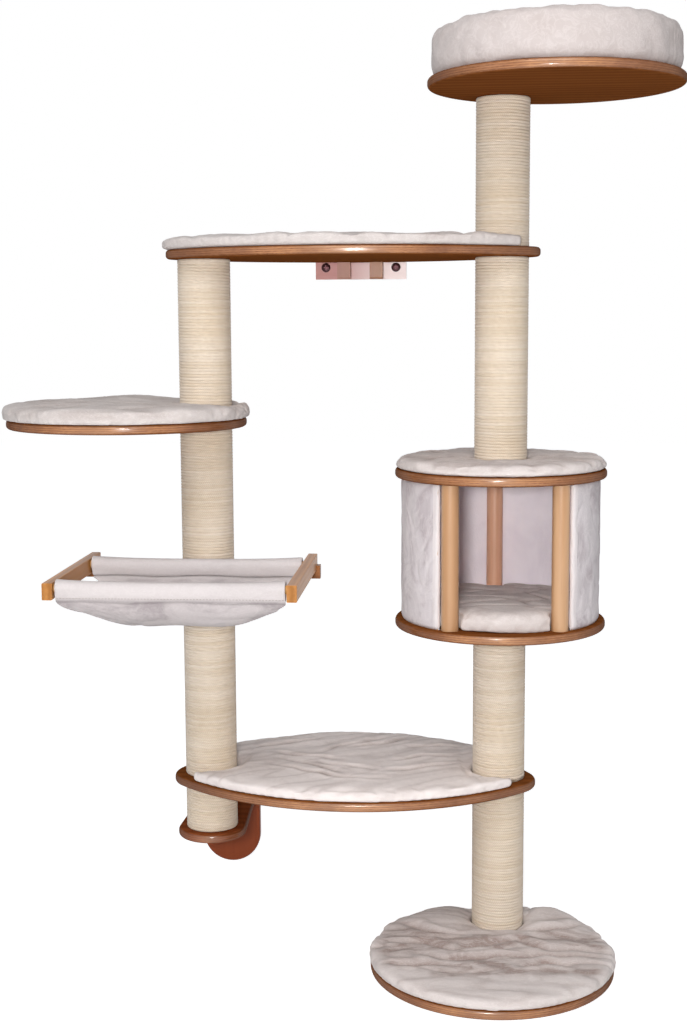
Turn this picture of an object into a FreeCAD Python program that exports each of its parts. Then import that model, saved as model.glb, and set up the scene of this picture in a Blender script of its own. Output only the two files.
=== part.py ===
"""Wall mounted cat tree: two sisal posts, lens shelves, den, hammock, bed.

Lengths are millimetres, angles are degrees. The layout below has the right
post's axis at x = 0, y = 0 and the floor at z = 0. X runs to the right along
the wall, -Y points into the room and +Z is up. Every piece is moved at the end
so that the origin is the middle of the upper wall bracket, on the wall.
"""
import FreeCAD, Part
import math
import os
from FreeCAD import Vector

# ---- posts ----
POST_GAP = 670.0          # right post axis to left post axis
POST_D = 120.0            # over the sisal
ROPE_D = 6.8              # sisal rope, wound in one layer
CORE_WALL = 8.0           # wall of the pressed paper core tube
PLUG_T = 24.0             # wooden plug in each end of a core
PLUG_FIT = 0.1            # plug to core, all round
WRAP_FIT = 0.2            # rope to core, all round

# ---- lengths of the post pieces, from the floor up ----
LEN_R1 = 345.0            # base board to lower shelf
LEN_R2 = 357.0            # lower shelf to den
LEN_R3 = 469.0            # den to upper shelf
LEN_R4 = 324.0            # upper shelf to top board
LEN_L1 = 109.0            # foot board to lower shelf
LEN_L2 = 813.0            # lower shelf to left shelf

# ---- boards ----
BOARD_T = 21.0            # plywood of every board
EDGE_R = 8.0              # rounded edge, top and bottom
DISC_R = 270.0            # base, left shelf and top are the same round board
RIM_PAST_POST = 92.0      # post axis to the near edge of a round board
BASE_TURN = -5.0          # where each round board points, from -Y towards +X
LEFT_TURN = -77.0
TOP_TURN = 37.0
WALL_Y = 314.0            # post axis to wall
LENS_FRONT = 228.0        # posts' line to the front of a lens shelf
LENS_END_R = 85.0         # rounded ends of the lens shelves, round the posts

# ---- fasteners ----
STUD_R = 5.0
STUD_FIT = 0.08           # running fit of a stud in a board
HEAD_R = 11.0
HEAD_T = 4.0
HEAD_SINK = 5.0           # depth of the recess for a flat head
HEAD_FIT = 0.5            # head to its recess, all round
SCREW_R = 2.5
SCREW_HEAD_R = 4.8
SCREW_HEAD_T = 2.8
SCREW_FIT = 0.05
DOWEL_SCREW_L = 50.0      # from the outside of a den board into a dowel
POST_SCREW_L = 50.0       # from the crossbar into the left post
ARM_SCREW_L = 45.0        # from under the crossbar into an arm
FOOT_SCREW_L = 63.0       # from the wall plate into the foot board
RIB_SCREW_L = 38.0        # from the bracket plate into a rib
TURN_GAP = 0.2            # above and below a board that can be turned
PAST = 1.0                # how far a cutter runs past the face it opens

# ---- soft covers ----
MAT_T = 24.0
MAT_INSET = 8.0           # round mats, from the board's edge
MAT_BEVEL = 8.0
MAT_POST_GAP = 3.0        # mat to sisal
LENS_MAT_INSET = 9.0
LENS_MAT_TAIL = 25.0      # how far a lens mat runs past a post's axis
SEAT_GAP = 0.3            # soft pieces to the board under them

# ---- den ----
DEN_R = 238.0
DEN_H = 320.0             # clear height between the two den boards
DEN_TURN = 2.8            # the doorway points a little to the right
DOWEL_D = 38.0
DOWEL_RING_R = 207.0      # circle through the front dowels
REAR_DOWEL_Y = 190.0
DOOR_HALF = 35.2          # half the angle between the front dowels
SHELL_T = 7.0             # bent plywood inside the den's wall
PLUSH_T = 3.5             # plush on both sides of it
DEN_WALL_R = 224.0        # outside of the plush
DEN_CUSHION_T = 40.0
DEN_CUSHION_GAP = 4.0     # cushion to wall and dowels

# ---- bed on the top board ----
BED_R = 262.0
BOLSTER_D = 114.0
BED_PAD_T = 42.0
BED_PAD_GAP = 2.0         # pad to bolster

# ---- hammock ----
ARM_W = 21.0
ARM_H = 35.0
ARM_L = 423.0
ARMS_OVER = 518.0         # over the outer faces of the arms
ARM_TOP_Z = 915.0
ARM_EDGE_R = 2.0
BAR_W = 21.0
BAR_H = 30.0
BAR_PAST = 8.0            # crossbar's end past an arm
BAR_LAP = 11.0            # how deep the arms are notched over the crossbar
ROD_R = 9.0
ROD_SEAT = 10.0           # depth of a rod's hole in an arm
ROD_FRONT_Y = -462.0
ROD_REAR_Y = -150.0
ROD_DROP = 13.0           # rod axis below the top of the arms
SLING_T = 3.0
SLING_SAG = 97.0
SLING_END_GAP = 3.0
POST_SCREW_SPACING = 48.0

# ---- foot board and its wall plate, under the left post ----
FOOT_TOP_Z = 257.0
FOOT_R = 79.0
FOOT_BACK_W = 132.0
FOOT_SCREW_SPACING = 66.0
PLATE_W = 144.0
PLATE_BOTTOM_Z = 64.0
PLATE_TOP_Z = 345.0
PLATE_EDGE_R = 5.0
PLATE_HOLE_SPACING = 80.0
PLATE_HOLE_Z = 290.0

# ---- upper wall bracket ----
BRACKET_W = 220.0
BRACKET_T = 18.0
BRACKET_DROP = 40.0       # below the shelf
BRACKET_HOLE_SPACING = 170.0
WALL_HOLE_R = 3.5
RIB_W = 31.0
RIB_L = 39.0
RIB_SPACING = 78.0
RIB_EDGE_R = 4.0
SHELF_SCREW_BACK = 31.0   # bracket plate to the screws that go up into the shelf

# ---- heights and places that follow from the sizes above ----
CORE_R = POST_D / 2 - ROPE_D
DISC_OFFSET = DISC_R - RIM_PAST_POST
LOWER_Z = BOARD_T + LEN_R1
DEN_Z = LOWER_Z + BOARD_T + LEN_R2
ROOF_Z = DEN_Z + BOARD_T + DEN_H
UPPER_Z = ROOF_Z + BOARD_T + LEN_R3
TOP_Z = UPPER_Z + BOARD_T + LEN_R4
LEFT_Z = LOWER_Z + BOARD_T + LEN_L2
FOOT_Z = FOOT_TOP_Z - BOARD_T
LEFT_X = -POST_GAP
LENS_BACK = WALL_Y - BRACKET_T - SEAT_GAP
BRACKET_X = -POST_GAP / 2
BRACKET_Z = UPPER_Z + (BOARD_T - BRACKET_DROP) / 2
ORIGIN = Vector(BRACKET_X, WALL_Y, BRACKET_Z)


def put(node, *solids):
    """Write one node, moved to the part's own origin."""
    shape = solids[0] if len(solids) == 1 else Part.makeCompound(list(solids))
    moved = shape.copy()
    moved.translate(ORIGIN * -1)
    moved.exportStep("parts/" + node + ".step")


def box(x0, x1, y0, y1, z0, z1):
    return Part.makeBox(x1 - x0, y1 - y0, z1 - z0, Vector(x0, y0, z0))


def rod(radius, start, end):
    """A cylinder between two points."""
    return Part.makeCylinder(radius, (end - start).Length, start, end - start)


def upright(radius, x, y, z0, z1):
    return rod(radius, Vector(x, y, z0), Vector(x, y, z1))


def tube(outer, inner, x, y, z0, z1):
    return upright(outer, x, y, z0, z1).cut(upright(inner, x, y, z0 - PAST, z1 + PAST))


def at_angle(radius, angle):
    """The point at a radius from the right post, angle from -Y towards +X."""
    turn = math.radians(angle)
    return radius * math.sin(turn), -radius * math.cos(turn)


def flat_edges(solid, z):
    """The level edges of a solid at one height."""
    return [edge for edge in solid.Edges
            if edge.BoundBox.ZLength < 1e-4 and abs(edge.BoundBox.ZMin - z) < 1e-4]


def stud_hole(x, z0, z1):
    return upright(STUD_R + STUD_FIT, x, 0, z0, z1)


def board_hole(x, z):
    """The stud's hole through a board whose underside is at z."""
    return stud_hole(x, z - PAST, z + BOARD_T + PAST)


# ---- posts ----
def post(x, z0, z1):
    """One post piece: core tube, a plug in each end and the sisal wrap."""
    bore = CORE_R - CORE_WALL
    core = tube(CORE_R, bore, x, 0, z0, z1)
    wrap = tube(POST_D / 2, CORE_R + WRAP_FIT, x, 0, z0, z1)
    plugs = []
    for low in (z0, z1 - PLUG_T):
        plug = upright(bore - PLUG_FIT, x, 0, low, low + PLUG_T)
        plugs.append(plug.cut(stud_hole(x, low, low + PLUG_T)))
    return core, wrap, plugs


def put_post(name, x, z0, z1, holes=None):
    """Write a post piece; holes are cut through its wrap and its core."""
    core, wrap, plugs = post(x, z0, z1)
    if holes is not None:
        core = core.cut(holes)
        wrap = wrap.cut(holes)
    put(name + "_core", core)
    put(name + "_sisal", wrap)
    put(name + "_plugs", *plugs)


def stud(x, board_z):
    """A threaded stud through a board into the plugs above and below it."""
    return upright(STUD_R, x, 0, board_z - PLUG_T, board_z + BOARD_T + PLUG_T)


def flat_bolt(x, face_z, up):
    """A flat head bolt from a board's outer face into the post's end plug."""
    way = 1 if up else -1
    seat = face_z + way * HEAD_SINK
    head = upright(HEAD_R, x, 0, *sorted((seat, seat - way * HEAD_T)))
    shank = upright(STUD_R, x, 0, *sorted((seat, face_z + way * (BOARD_T + PLUG_T))))
    return head.fuse(shank).removeSplitter()


def head_recess(x, face_z, up):
    """The recess in a board for a flat head, a little deeper than its seat."""
    way = 1 if up else -1
    floor = face_z + way * (HEAD_SINK + TURN_GAP / 2)
    return upright(HEAD_R + HEAD_FIT, x, 0, *sorted((face_z - way * PAST, floor)))


def screw(start, way, length):
    """A wood screw: its head's outer face is at start, its point lies along way."""
    aim = Vector(way).normalize()
    head = rod(SCREW_HEAD_R, start, start + aim * SCREW_HEAD_T)
    return head.fuse(rod(SCREW_R, start, start + aim * length)).removeSplitter()


def screw_room(start, way, length):
    """The hole that a wood screw fills."""
    aim = Vector(way).normalize()
    head = rod(SCREW_HEAD_R + SCREW_FIT, start - aim * PAST, start + aim * (SCREW_HEAD_T + SCREW_FIT))
    return head.fuse(rod(SCREW_R + SCREW_FIT, start, start + aim * (length + SCREW_FIT)))


def wall_hole(x, front_y, z):
    """A hole for a wall screw, from a plate's front face to the wall."""
    return rod(WALL_HOLE_R, Vector(x, front_y - PAST, z), Vector(x, WALL_Y + PAST, z))


# ---- round boards and mats ----
def round_board(x, y, z, radius):
    board = upright(radius, x, y, z, z + BOARD_T)
    return board.makeFillet(EDGE_R, flat_edges(board, z) + flat_edges(board, z + BOARD_T))


def mat_hole(x, z):
    """The room for a post through a mat whose underside is at z."""
    return upright(POST_D / 2 + MAT_POST_GAP, x, 0, z - PAST, z + MAT_T + PAST)


def disc_centre(post_x, turn):
    dx, dy = at_angle(DISC_OFFSET, turn)
    return post_x + dx, dy


def round_mat(x, y, z, radius, post_x):
    """A round mat with a hole for the post that stands on the board."""
    mat = upright(radius, x, y, z, z + MAT_T)
    mat = mat.makeChamfer(MAT_BEVEL, flat_edges(mat, z + MAT_T))
    return mat.cut(mat_hole(post_x, z))


# ---- lens shelves ----
def long_arc_end(depth, end):
    """Where a long arc of that depth meets the round end of the right post."""
    half = POST_GAP / 2
    big = (half ** 2 + depth ** 2 - end ** 2) / (2 * (depth - end))
    away = big - depth
    reach = math.hypot(half, away)
    return end * half / reach, end * away / reach


def lens_prism(inset, z, height):
    """Two long arcs that run into round ends, both concentric with the posts."""
    half = POST_GAP / 2
    end = LENS_END_R - inset
    front, back = LENS_FRONT - inset, LENS_BACK - inset
    front_x, front_y = long_arc_end(front, end)
    back_x, back_y = long_arc_end(back, end)
    front_right, front_left = (Vector(x, -front_y, z) for x in (front_x, LEFT_X - front_x))
    back_right, back_left = (Vector(x, back_y, z) for x in (back_x, LEFT_X - back_x))
    arcs = [Part.Arc(front_left, Vector(-half, -front, z), front_right),
            Part.Arc(front_right, Vector(end, 0, z), back_right),
            Part.Arc(back_right, Vector(-half, back, z), back_left),
            Part.Arc(back_left, Vector(LEFT_X - end, 0, z), front_left)]
    outline = Part.Wire([arc.toShape() for arc in arcs])
    return Part.Face(outline).extrude(Vector(0, 0, height))


def lens_board(z):
    board = lens_prism(0, z, BOARD_T)
    board = board.makeFillet(EDGE_R, flat_edges(board, z) + flat_edges(board, z + BOARD_T))
    for x in (0, LEFT_X):
        board = board.cut(board_hole(x, z))
    return board


def lens_mat(z, posts):
    """A mat that stops a little past the axis of each post that stands on the board."""
    mat = lens_prism(LENS_MAT_INSET, z, MAT_T)
    for x in posts:
        side = 1 if x == 0 else -1
        beyond = sorted((x + side * LENS_MAT_TAIL, x + side * (LENS_END_R + PAST)))
        end = box(*beyond, -LENS_END_R, LENS_END_R, z - PAST, z + MAT_T + PAST)
        mat = mat.cut(end).cut(mat_hole(x, z))
    return mat


# ---- den ----
def den_wall(outer, inner, z0, z1, half_gap):
    """A round wall, open towards the doorway over twice half_gap."""
    ring = tube(outer, inner, 0, 0, z0, z1)
    reach = outer / math.cos(math.radians(half_gap))
    gap = [Vector(*at_angle(reach, DEN_TURN + turn), z0 - PAST)
           for turn in (-half_gap, 0, half_gap)]
    corner = Vector(0, 0, z0 - PAST)
    outline = Part.makePolygon([corner] + gap + [corner])
    wedge = Part.Face(outline).extrude(Vector(0, 0, z1 - z0 + 2 * PAST))
    return ring.cut(wedge)


def dowel_places():
    """Front left, front right and rear dowel."""
    left = at_angle(DOWEL_RING_R, DEN_TURN - DOOR_HALF)
    right = at_angle(DOWEL_RING_R, DEN_TURN + DOOR_HALF)
    rear = at_angle(-REAR_DOWEL_Y, DEN_TURN)
    return [left, right, rear]


def put_den():
    floor_top = DEN_Z + BOARD_T
    floor = round_board(0, 0, DEN_Z, DEN_R)
    floor = floor.cut(board_hole(0, DEN_Z)).cut(head_recess(0, floor_top, False))
    roof = round_board(0, 0, ROOF_Z, DEN_R)
    roof = roof.cut(board_hole(0, ROOF_Z)).cut(head_recess(0, ROOF_Z, True))

    dowels, screws = [], []
    for x, y in dowel_places():
        low, high = Vector(x, y, DEN_Z), Vector(x, y, ROOF_Z + BOARD_T)
        up, down = Vector(0, 0, 1), Vector(0, 0, -1)
        rooms = screw_room(low, up, DOWEL_SCREW_L).fuse(screw_room(high, down, DOWEL_SCREW_L))
        dowels.append(upright(DOWEL_D / 2, x, y, floor_top, ROOF_Z).cut(rooms))
        floor = floor.cut(rooms)
        roof = roof.cut(rooms)
        screws += [screw(low, up, DOWEL_SCREW_L), screw(high, down, DOWEL_SCREW_L)]
    put("den_floor_board", floor)
    put("den_roof_board", roof)
    put("den_front_dowels", *dowels[:2])
    put("den_rear_dowel", dowels[2])
    put("den_dowel_screws", *screws)

    # the wall ends where the front dowels begin
    dowel_turn = math.degrees(math.asin((DOWEL_D / 2 + SEAT_GAP) / DOWEL_RING_R))
    cover_gap = DOOR_HALF + dowel_turn
    shell_gap = cover_gap + math.degrees(PLUSH_T / DEN_WALL_R)
    shell_r = DEN_WALL_R - PLUSH_T
    shell = den_wall(shell_r, shell_r - SHELL_T, floor_top, ROOF_Z, shell_gap)
    inner_r = shell_r - SHELL_T - PLUSH_T
    cover = den_wall(DEN_WALL_R, inner_r, floor_top, ROOF_Z, cover_gap).cut(shell)
    for x, y in dowel_places():
        cover = cover.cut(upright(DOWEL_D / 2 + SEAT_GAP, x, y, floor_top - PAST, ROOF_Z + PAST))
    put("den_wall_shell", shell)
    put("den_wall_cover", cover)

    cushion_top = floor_top + DEN_CUSHION_T
    cushion = upright(inner_r - DEN_CUSHION_GAP, 0, 0, floor_top, cushion_top)
    cushion = cushion.makeChamfer(MAT_BEVEL, flat_edges(cushion, cushion_top))
    notch_r = DOWEL_D / 2 + DEN_CUSHION_GAP
    for x, y in dowel_places():
        cushion = cushion.cut(upright(notch_r, x, y, floor_top - PAST, cushion_top + PAST))
    put("den_cushion", cushion)
    put("den_roof_mat", round_mat(0, 0, ROOF_Z + BOARD_T, DEN_R - MAT_INSET, 0))


# ---- bed ----
def put_bed(x, y, z):
    section = BOLSTER_D / 2
    ring_r = BED_R - section
    low = z + SEAT_GAP
    bolster = Part.makeTorus(ring_r, section, Vector(x, y, low + section), Vector(0, 0, 1))
    rise = section - BED_PAD_T
    inner_r = ring_r - math.sqrt(section ** 2 - max(rise, 0) ** 2)
    put("bed_bolster", bolster)
    put("bed_pad", upright(inner_r - BED_PAD_GAP, x, y, low, low + BED_PAD_T))


# ---- hammock ----
def put_hammock():
    """Two arms lapped over a crossbar that is screwed to the left post."""
    back_y = -POST_D / 2 - SEAT_GAP
    front_y = back_y - ARM_L
    low_z = ARM_TOP_Z - ARM_H
    bar_top = low_z + BAR_LAP
    rod_z = ARM_TOP_Z - ROD_DROP
    half = ARMS_OVER / 2
    bar_mid_z = bar_top - BAR_H / 2
    bar_mid_y = back_y - BAR_W / 2

    arms, rod_seats, arm_screws = [], [], []
    for y in (ROD_FRONT_Y, ROD_REAR_Y):
        reach = half - ARM_W + ROD_SEAT
        rod_seats.append((Vector(LEFT_X - reach, y, rod_z), Vector(LEFT_X + reach, y, rod_z)))
    bar_half = half + BAR_PAST
    lap = box(LEFT_X - bar_half, LEFT_X + bar_half, back_y - BAR_W, back_y + PAST, low_z - PAST, bar_top)
    for side in (-1, 1):
        x0, x1 = sorted((LEFT_X + side * half, LEFT_X + side * (half - ARM_W)))
        arm = box(x0, x1, front_y, back_y, low_z, ARM_TOP_Z)
        along = [edge for edge in arm.Edges if edge.BoundBox.YLength > ARM_L / 2]
        arm = arm.makeFillet(ARM_EDGE_R, along).cut(lap)
        for start, end in rod_seats:
            arm = arm.cut(rod(ROD_R + SCREW_FIT, start, end))
        foot = Vector(LEFT_X + side * (half - ARM_W / 2), bar_mid_y, bar_top - BAR_H)
        arm_screws.append((foot, Vector(0, 0, 1), ARM_SCREW_L))
        arms.append(arm)

    bar = box(LEFT_X - bar_half, LEFT_X + bar_half, back_y - BAR_W, back_y, bar_top - BAR_H, bar_top)
    post_screws = []
    for side in (-1, 1):
        head = Vector(LEFT_X + side * POST_SCREW_SPACING / 2, back_y - BAR_W, bar_mid_z)
        post_screws.append((head, Vector(0, 1, 0), POST_SCREW_L))
    for place in arm_screws + post_screws:
        room = screw_room(*place)
        bar = bar.cut(room)
        arms = [arm.cut(room) for arm in arms]
    put("hammock_arm_left", arms[0])
    put("hammock_arm_right", arms[1])
    put("hammock_crossbar", bar)
    put("hammock_rods", *[rod(ROD_R, start, end) for start, end in rod_seats])
    put("hammock_screws", *[screw(*place) for place in arm_screws + post_screws])

    # the sling: a sleeve round each rod and a sheet that sags between them
    sling_half = half - ARM_W - SLING_END_GAP
    ends = (Vector(LEFT_X - sling_half, 0, 0), Vector(LEFT_X + sling_half, 0, 0))

    def bar_along_x(radius, y, z):
        at = Vector(0, y, z)
        return rod(radius, ends[0] + at, ends[1] + at)

    chord = (ROD_REAR_Y - ROD_FRONT_Y) / 2
    bend = (chord ** 2 + SLING_SAG ** 2) / (2 * SLING_SAG)
    mid_y = (ROD_FRONT_Y + ROD_REAR_Y) / 2
    mid_z = rod_z - SLING_SAG + bend
    sheet = bar_along_x(bend + SLING_T / 2, mid_y, mid_z)
    sheet = sheet.cut(bar_along_x(bend - SLING_T / 2, mid_y, mid_z))
    low = rod_z - SLING_SAG - SLING_T
    sheet = sheet.common(box(ends[0].x, ends[1].x, ROD_FRONT_Y, ROD_REAR_Y, low, rod_z))
    sling = sheet
    for y in (ROD_FRONT_Y, ROD_REAR_Y):
        sling = sling.fuse(bar_along_x(ROD_R + SEAT_GAP + SLING_T, y, rod_z))
    for y in (ROD_FRONT_Y, ROD_REAR_Y):
        sling = sling.cut(bar_along_x(ROD_R + SEAT_GAP, y, rod_z))
    put("hammock_sling", sling.removeSplitter())
    return [screw_room(*place) for place in post_screws]


# ---- foot board and wall plate ----
def put_foot():
    """A keyhole board under the left post, screwed to a plate on the wall."""
    back_y = WALL_Y - BOARD_T
    half = FOOT_BACK_W / 2
    away = math.hypot(half, back_y)
    touch = math.atan2(back_y, half) - math.acos(FOOT_R / away)
    touch_x, touch_y = FOOT_R * math.cos(touch), FOOT_R * math.sin(touch)
    z = FOOT_Z
    right_back, left_back = Vector(LEFT_X + half, back_y, z), Vector(LEFT_X - half, back_y, z)
    right_side, left_side = Vector(LEFT_X + touch_x, touch_y, z), Vector(LEFT_X - touch_x, touch_y, z)
    nose = Part.Arc(right_side, Vector(LEFT_X, -FOOT_R, z), left_side).toShape()
    outline = Part.Wire([Part.makeLine(right_back, right_side), nose,
                         Part.makeLine(left_side, left_back), Part.makeLine(left_back, right_back)])
    board = Part.Face(outline).extrude(Vector(0, 0, BOARD_T))
    rims = [edge for edge in flat_edges(board, z) + flat_edges(board, z + BOARD_T)
            if edge.BoundBox.YMin < back_y - EDGE_R]
    board = board.makeFillet(EDGE_R, rims)
    board = board.cut(board_hole(LEFT_X, z)).cut(head_recess(LEFT_X, z, True))

    radius = PLATE_W / 2
    low, high = PLATE_BOTTOM_Z + radius, PLATE_TOP_Z - radius
    plate = box(LEFT_X - radius, LEFT_X + radius, back_y, WALL_Y, low, high)
    for end_z in (low, high):
        plate = plate.fuse(rod(radius, Vector(LEFT_X, back_y, end_z), Vector(LEFT_X, WALL_Y, end_z)))
    plate = plate.removeSplitter()
    front = [edge for edge in plate.Edges
             if edge.BoundBox.YLength < 1e-4 and abs(edge.BoundBox.YMin - back_y) < 1e-4]
    plate = plate.makeFillet(PLATE_EDGE_R, front)
    places = []
    for side in (-1, 1):
        plate = plate.cut(wall_hole(LEFT_X + side * PLATE_HOLE_SPACING / 2, back_y, PLATE_HOLE_Z))
        head = Vector(LEFT_X + side * FOOT_SCREW_SPACING / 2, WALL_Y, z + BOARD_T / 2)
        places.append((head, Vector(0, -1, 0), FOOT_SCREW_L))
    for place in places:
        board = board.cut(screw_room(*place))
        plate = plate.cut(screw_room(*place))
    put("foot_board", board)
    put("foot_wall_plate", plate)
    put("foot_screws", *[screw(*place) for place in places])


# ---- upper wall bracket ----
def put_bracket(shelf):
    """A plate on the wall with two ribs that the shelf sits on and is screwed to."""
    face_y = WALL_Y - BRACKET_T
    low = UPPER_Z - BRACKET_DROP
    half = BRACKET_W / 2
    plate = box(BRACKET_X - half, BRACKET_X + half, face_y, WALL_Y, low, UPPER_Z + BOARD_T)
    ribs, rib_screws, shelf_screws = [], [], []
    for side in (-1, 1):
        plate = plate.cut(wall_hole(BRACKET_X + side * BRACKET_HOLE_SPACING / 2, face_y, BRACKET_Z))
        x = BRACKET_X + side * RIB_SPACING / 2
        nose_y = face_y - RIB_L
        rib = box(x - RIB_W / 2, x + RIB_W / 2, nose_y, face_y, low, UPPER_Z)
        nose = [edge for edge in flat_edges(rib, low)
                if edge.BoundBox.YLength < 1e-4 and abs(edge.BoundBox.YMin - nose_y) < 1e-4]
        rib = rib.makeFillet(RIB_EDGE_R, nose)
        half_way_up = Vector(x, WALL_Y, low + BRACKET_DROP / 2)
        rib_screws.append((half_way_up, Vector(0, -1, 0), RIB_SCREW_L))
        under_shelf = Vector(x, face_y - SHELF_SCREW_BACK, low)
        shelf_screws.append((under_shelf, Vector(0, 0, 1), BRACKET_DROP + BOARD_T / 2))
        for place in (rib_screws[-1], shelf_screws[-1]):
            rib = rib.cut(screw_room(*place))
            plate = plate.cut(screw_room(*place))
            shelf = shelf.cut(screw_room(*place))
        ribs.append(rib)
    put("bracket_plate", plate)
    put("bracket_ribs", *ribs)
    put("bracket_rib_screws", *[screw(*place) for place in rib_screws])
    put("bracket_shelf_screws", *[screw(*place) for place in shelf_screws])
    return shelf


def main():
    os.makedirs("parts", exist_ok=True)

    # base board and mat
    x, y = disc_centre(0, BASE_TURN)
    base = round_board(x, y, 0, DISC_R)
    base = base.cut(board_hole(0, 0)).cut(head_recess(0, 0, True))
    put("base_board", base)
    put("base_mat", round_mat(x, y, BOARD_T, DISC_R - MAT_INSET, 0))

    # lens shelves
    put("lower_shelf_board", lens_board(LOWER_Z))
    put("lower_shelf_mat", lens_mat(LOWER_Z + BOARD_T, (0, LEFT_X)))
    upper = lens_board(UPPER_Z).cut(head_recess(LEFT_X, UPPER_Z + BOARD_T, False))
    put("upper_shelf_board", put_bracket(upper))
    put("upper_shelf_mat", lens_mat(UPPER_Z + BOARD_T, (0,)))

    # left shelf, clamped between two post pieces; it can be turned
    x, y = disc_centre(LEFT_X, LEFT_TURN)
    left = round_board(x, y, LEFT_Z, DISC_R)
    put("left_shelf_board", left.cut(board_hole(LEFT_X, LEFT_Z)))
    mat_z = LEFT_Z + BOARD_T + SEAT_GAP
    put("left_shelf_mat", round_mat(x, y, mat_z, DISC_R - MAT_INSET, LEFT_X))

    # top board and bed; the board can be turned, the bed lifts off
    x, y = disc_centre(0, TOP_TURN)
    top_face = TOP_Z + BOARD_T
    top = round_board(x, y, TOP_Z, DISC_R).cut(board_hole(0, TOP_Z))
    put("top_board", top.cut(head_recess(0, top_face, False)))
    put_bed(x, y, top_face)

    put_den()
    put_foot()
    hammock_holes = put_hammock()

    # posts
    put_post("post_r1", 0, BOARD_T, LOWER_Z)
    put_post("post_r2", 0, LOWER_Z + BOARD_T, DEN_Z)
    put_post("post_r3", 0, ROOF_Z + BOARD_T, UPPER_Z)
    put_post("post_r4", 0, UPPER_Z + BOARD_T, TOP_Z - TURN_GAP)
    put_post("post_l1", LEFT_X, FOOT_TOP_Z, LOWER_Z)
    hammock_rooms = Part.makeCompound(hammock_holes)
    put_post("post_l2", LEFT_X, LOWER_Z + BOARD_T, LEFT_Z - TURN_GAP, hammock_rooms)
    put_post("post_l3", LEFT_X, LEFT_Z + BOARD_T + TURN_GAP, UPPER_Z)

    put("joining_studs", stud(0, LOWER_Z), stud(0, UPPER_Z),
        stud(LEFT_X, LOWER_Z), stud(LEFT_X, LEFT_Z))
    put("flat_head_bolts", flat_bolt(0, 0, True), flat_bolt(0, DEN_Z + BOARD_T, False),
        flat_bolt(0, ROOF_Z, True), flat_bolt(0, top_face, False),
        flat_bolt(LEFT_X, FOOT_Z, True), flat_bolt(LEFT_X, UPPER_Z + BOARD_T, False))


main()
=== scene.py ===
"""Wall mounted cat tree: the finish of its wood, rope, plush and cloth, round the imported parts.

Metres. +Z is up, -Y points into the room, and the origin is the middle of the
upper wall bracket, on the wall.
"""
import math

import bmesh
import bpy
import numpy as np
from mathutils import Matrix, Vector, noise


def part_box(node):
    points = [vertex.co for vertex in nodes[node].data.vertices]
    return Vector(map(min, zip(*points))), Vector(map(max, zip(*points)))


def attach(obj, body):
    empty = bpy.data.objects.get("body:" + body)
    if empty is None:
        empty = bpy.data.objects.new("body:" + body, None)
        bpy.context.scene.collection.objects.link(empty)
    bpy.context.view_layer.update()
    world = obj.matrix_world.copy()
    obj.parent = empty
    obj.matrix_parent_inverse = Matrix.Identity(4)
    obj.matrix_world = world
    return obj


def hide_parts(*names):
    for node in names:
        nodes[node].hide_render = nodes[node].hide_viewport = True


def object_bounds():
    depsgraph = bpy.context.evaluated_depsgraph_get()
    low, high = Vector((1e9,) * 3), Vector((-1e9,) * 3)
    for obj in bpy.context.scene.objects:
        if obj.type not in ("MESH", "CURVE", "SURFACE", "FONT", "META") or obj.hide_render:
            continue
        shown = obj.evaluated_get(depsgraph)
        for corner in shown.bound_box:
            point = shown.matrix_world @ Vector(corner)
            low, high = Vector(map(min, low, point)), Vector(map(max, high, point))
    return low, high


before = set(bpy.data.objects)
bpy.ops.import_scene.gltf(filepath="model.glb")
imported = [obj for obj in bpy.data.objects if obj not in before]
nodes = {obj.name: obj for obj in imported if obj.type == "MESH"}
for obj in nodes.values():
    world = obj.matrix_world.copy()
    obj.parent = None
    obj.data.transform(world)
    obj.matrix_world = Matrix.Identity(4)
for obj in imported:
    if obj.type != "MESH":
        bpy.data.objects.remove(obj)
cad_low, cad_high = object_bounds()


# ---- camera, light and floor ----
# The camera stands in the room, right of the tree's middle and lower than the
# upper shelf, and looks slightly down and to the left, as in the photograph.
CAMERA_PLACE = (0.26507, -3.84097, -0.12005)
CAMERA_DOWN = 0.124623
CAMERA_LEFT = 0.0810311
CAMERA_ROLL = -0.0051306
CAMERA_LENS = 54.86
CAMERA_SENSOR = 36.0

scene = bpy.context.scene
scene.view_settings.view_transform = "Standard"


def camera_turn():
    level = Matrix.Rotation(CAMERA_LEFT, 4, "Z")
    dip = Matrix.Rotation(math.pi / 2 - CAMERA_DOWN, 4, "X")
    return level @ dip @ Matrix.Rotation(CAMERA_ROLL, 4, "Z")


camera_data = bpy.data.cameras.new("camera")
camera_data.sensor_width = CAMERA_SENSOR
camera_data.lens = CAMERA_LENS
camera = bpy.data.objects.new("camera", camera_data)
camera.matrix_world = Matrix.Translation(CAMERA_PLACE) @ camera_turn()
scene.collection.objects.link(camera)
scene.camera = camera


def put_node(tree, kind, sockets=None, **settings):
    """Adds a node; a socket is given a value or the output that feeds it."""
    made = tree.nodes.new(kind)
    for name, value in settings.items():
        setattr(made, name, value)
    for name, value in (sockets or {}).items():
        if isinstance(value, bpy.types.NodeSocket):
            tree.links.new(value, made.inputs[name])
        else:
            made.inputs[name].default_value = value
    return made


def math_out(tree, operation, *values):
    """A maths node's result; each value is a number or an output."""
    return put_node(tree, "ShaderNodeMath", dict(enumerate(values)), operation=operation).outputs[0]


def new_piece(name, points=(), edges=(), faces=()):
    made = bpy.data.objects.new(name, bpy.data.meshes.new(name))
    made.data.from_pydata(points, edges, faces)
    scene.collection.objects.link(made)
    return made


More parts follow.
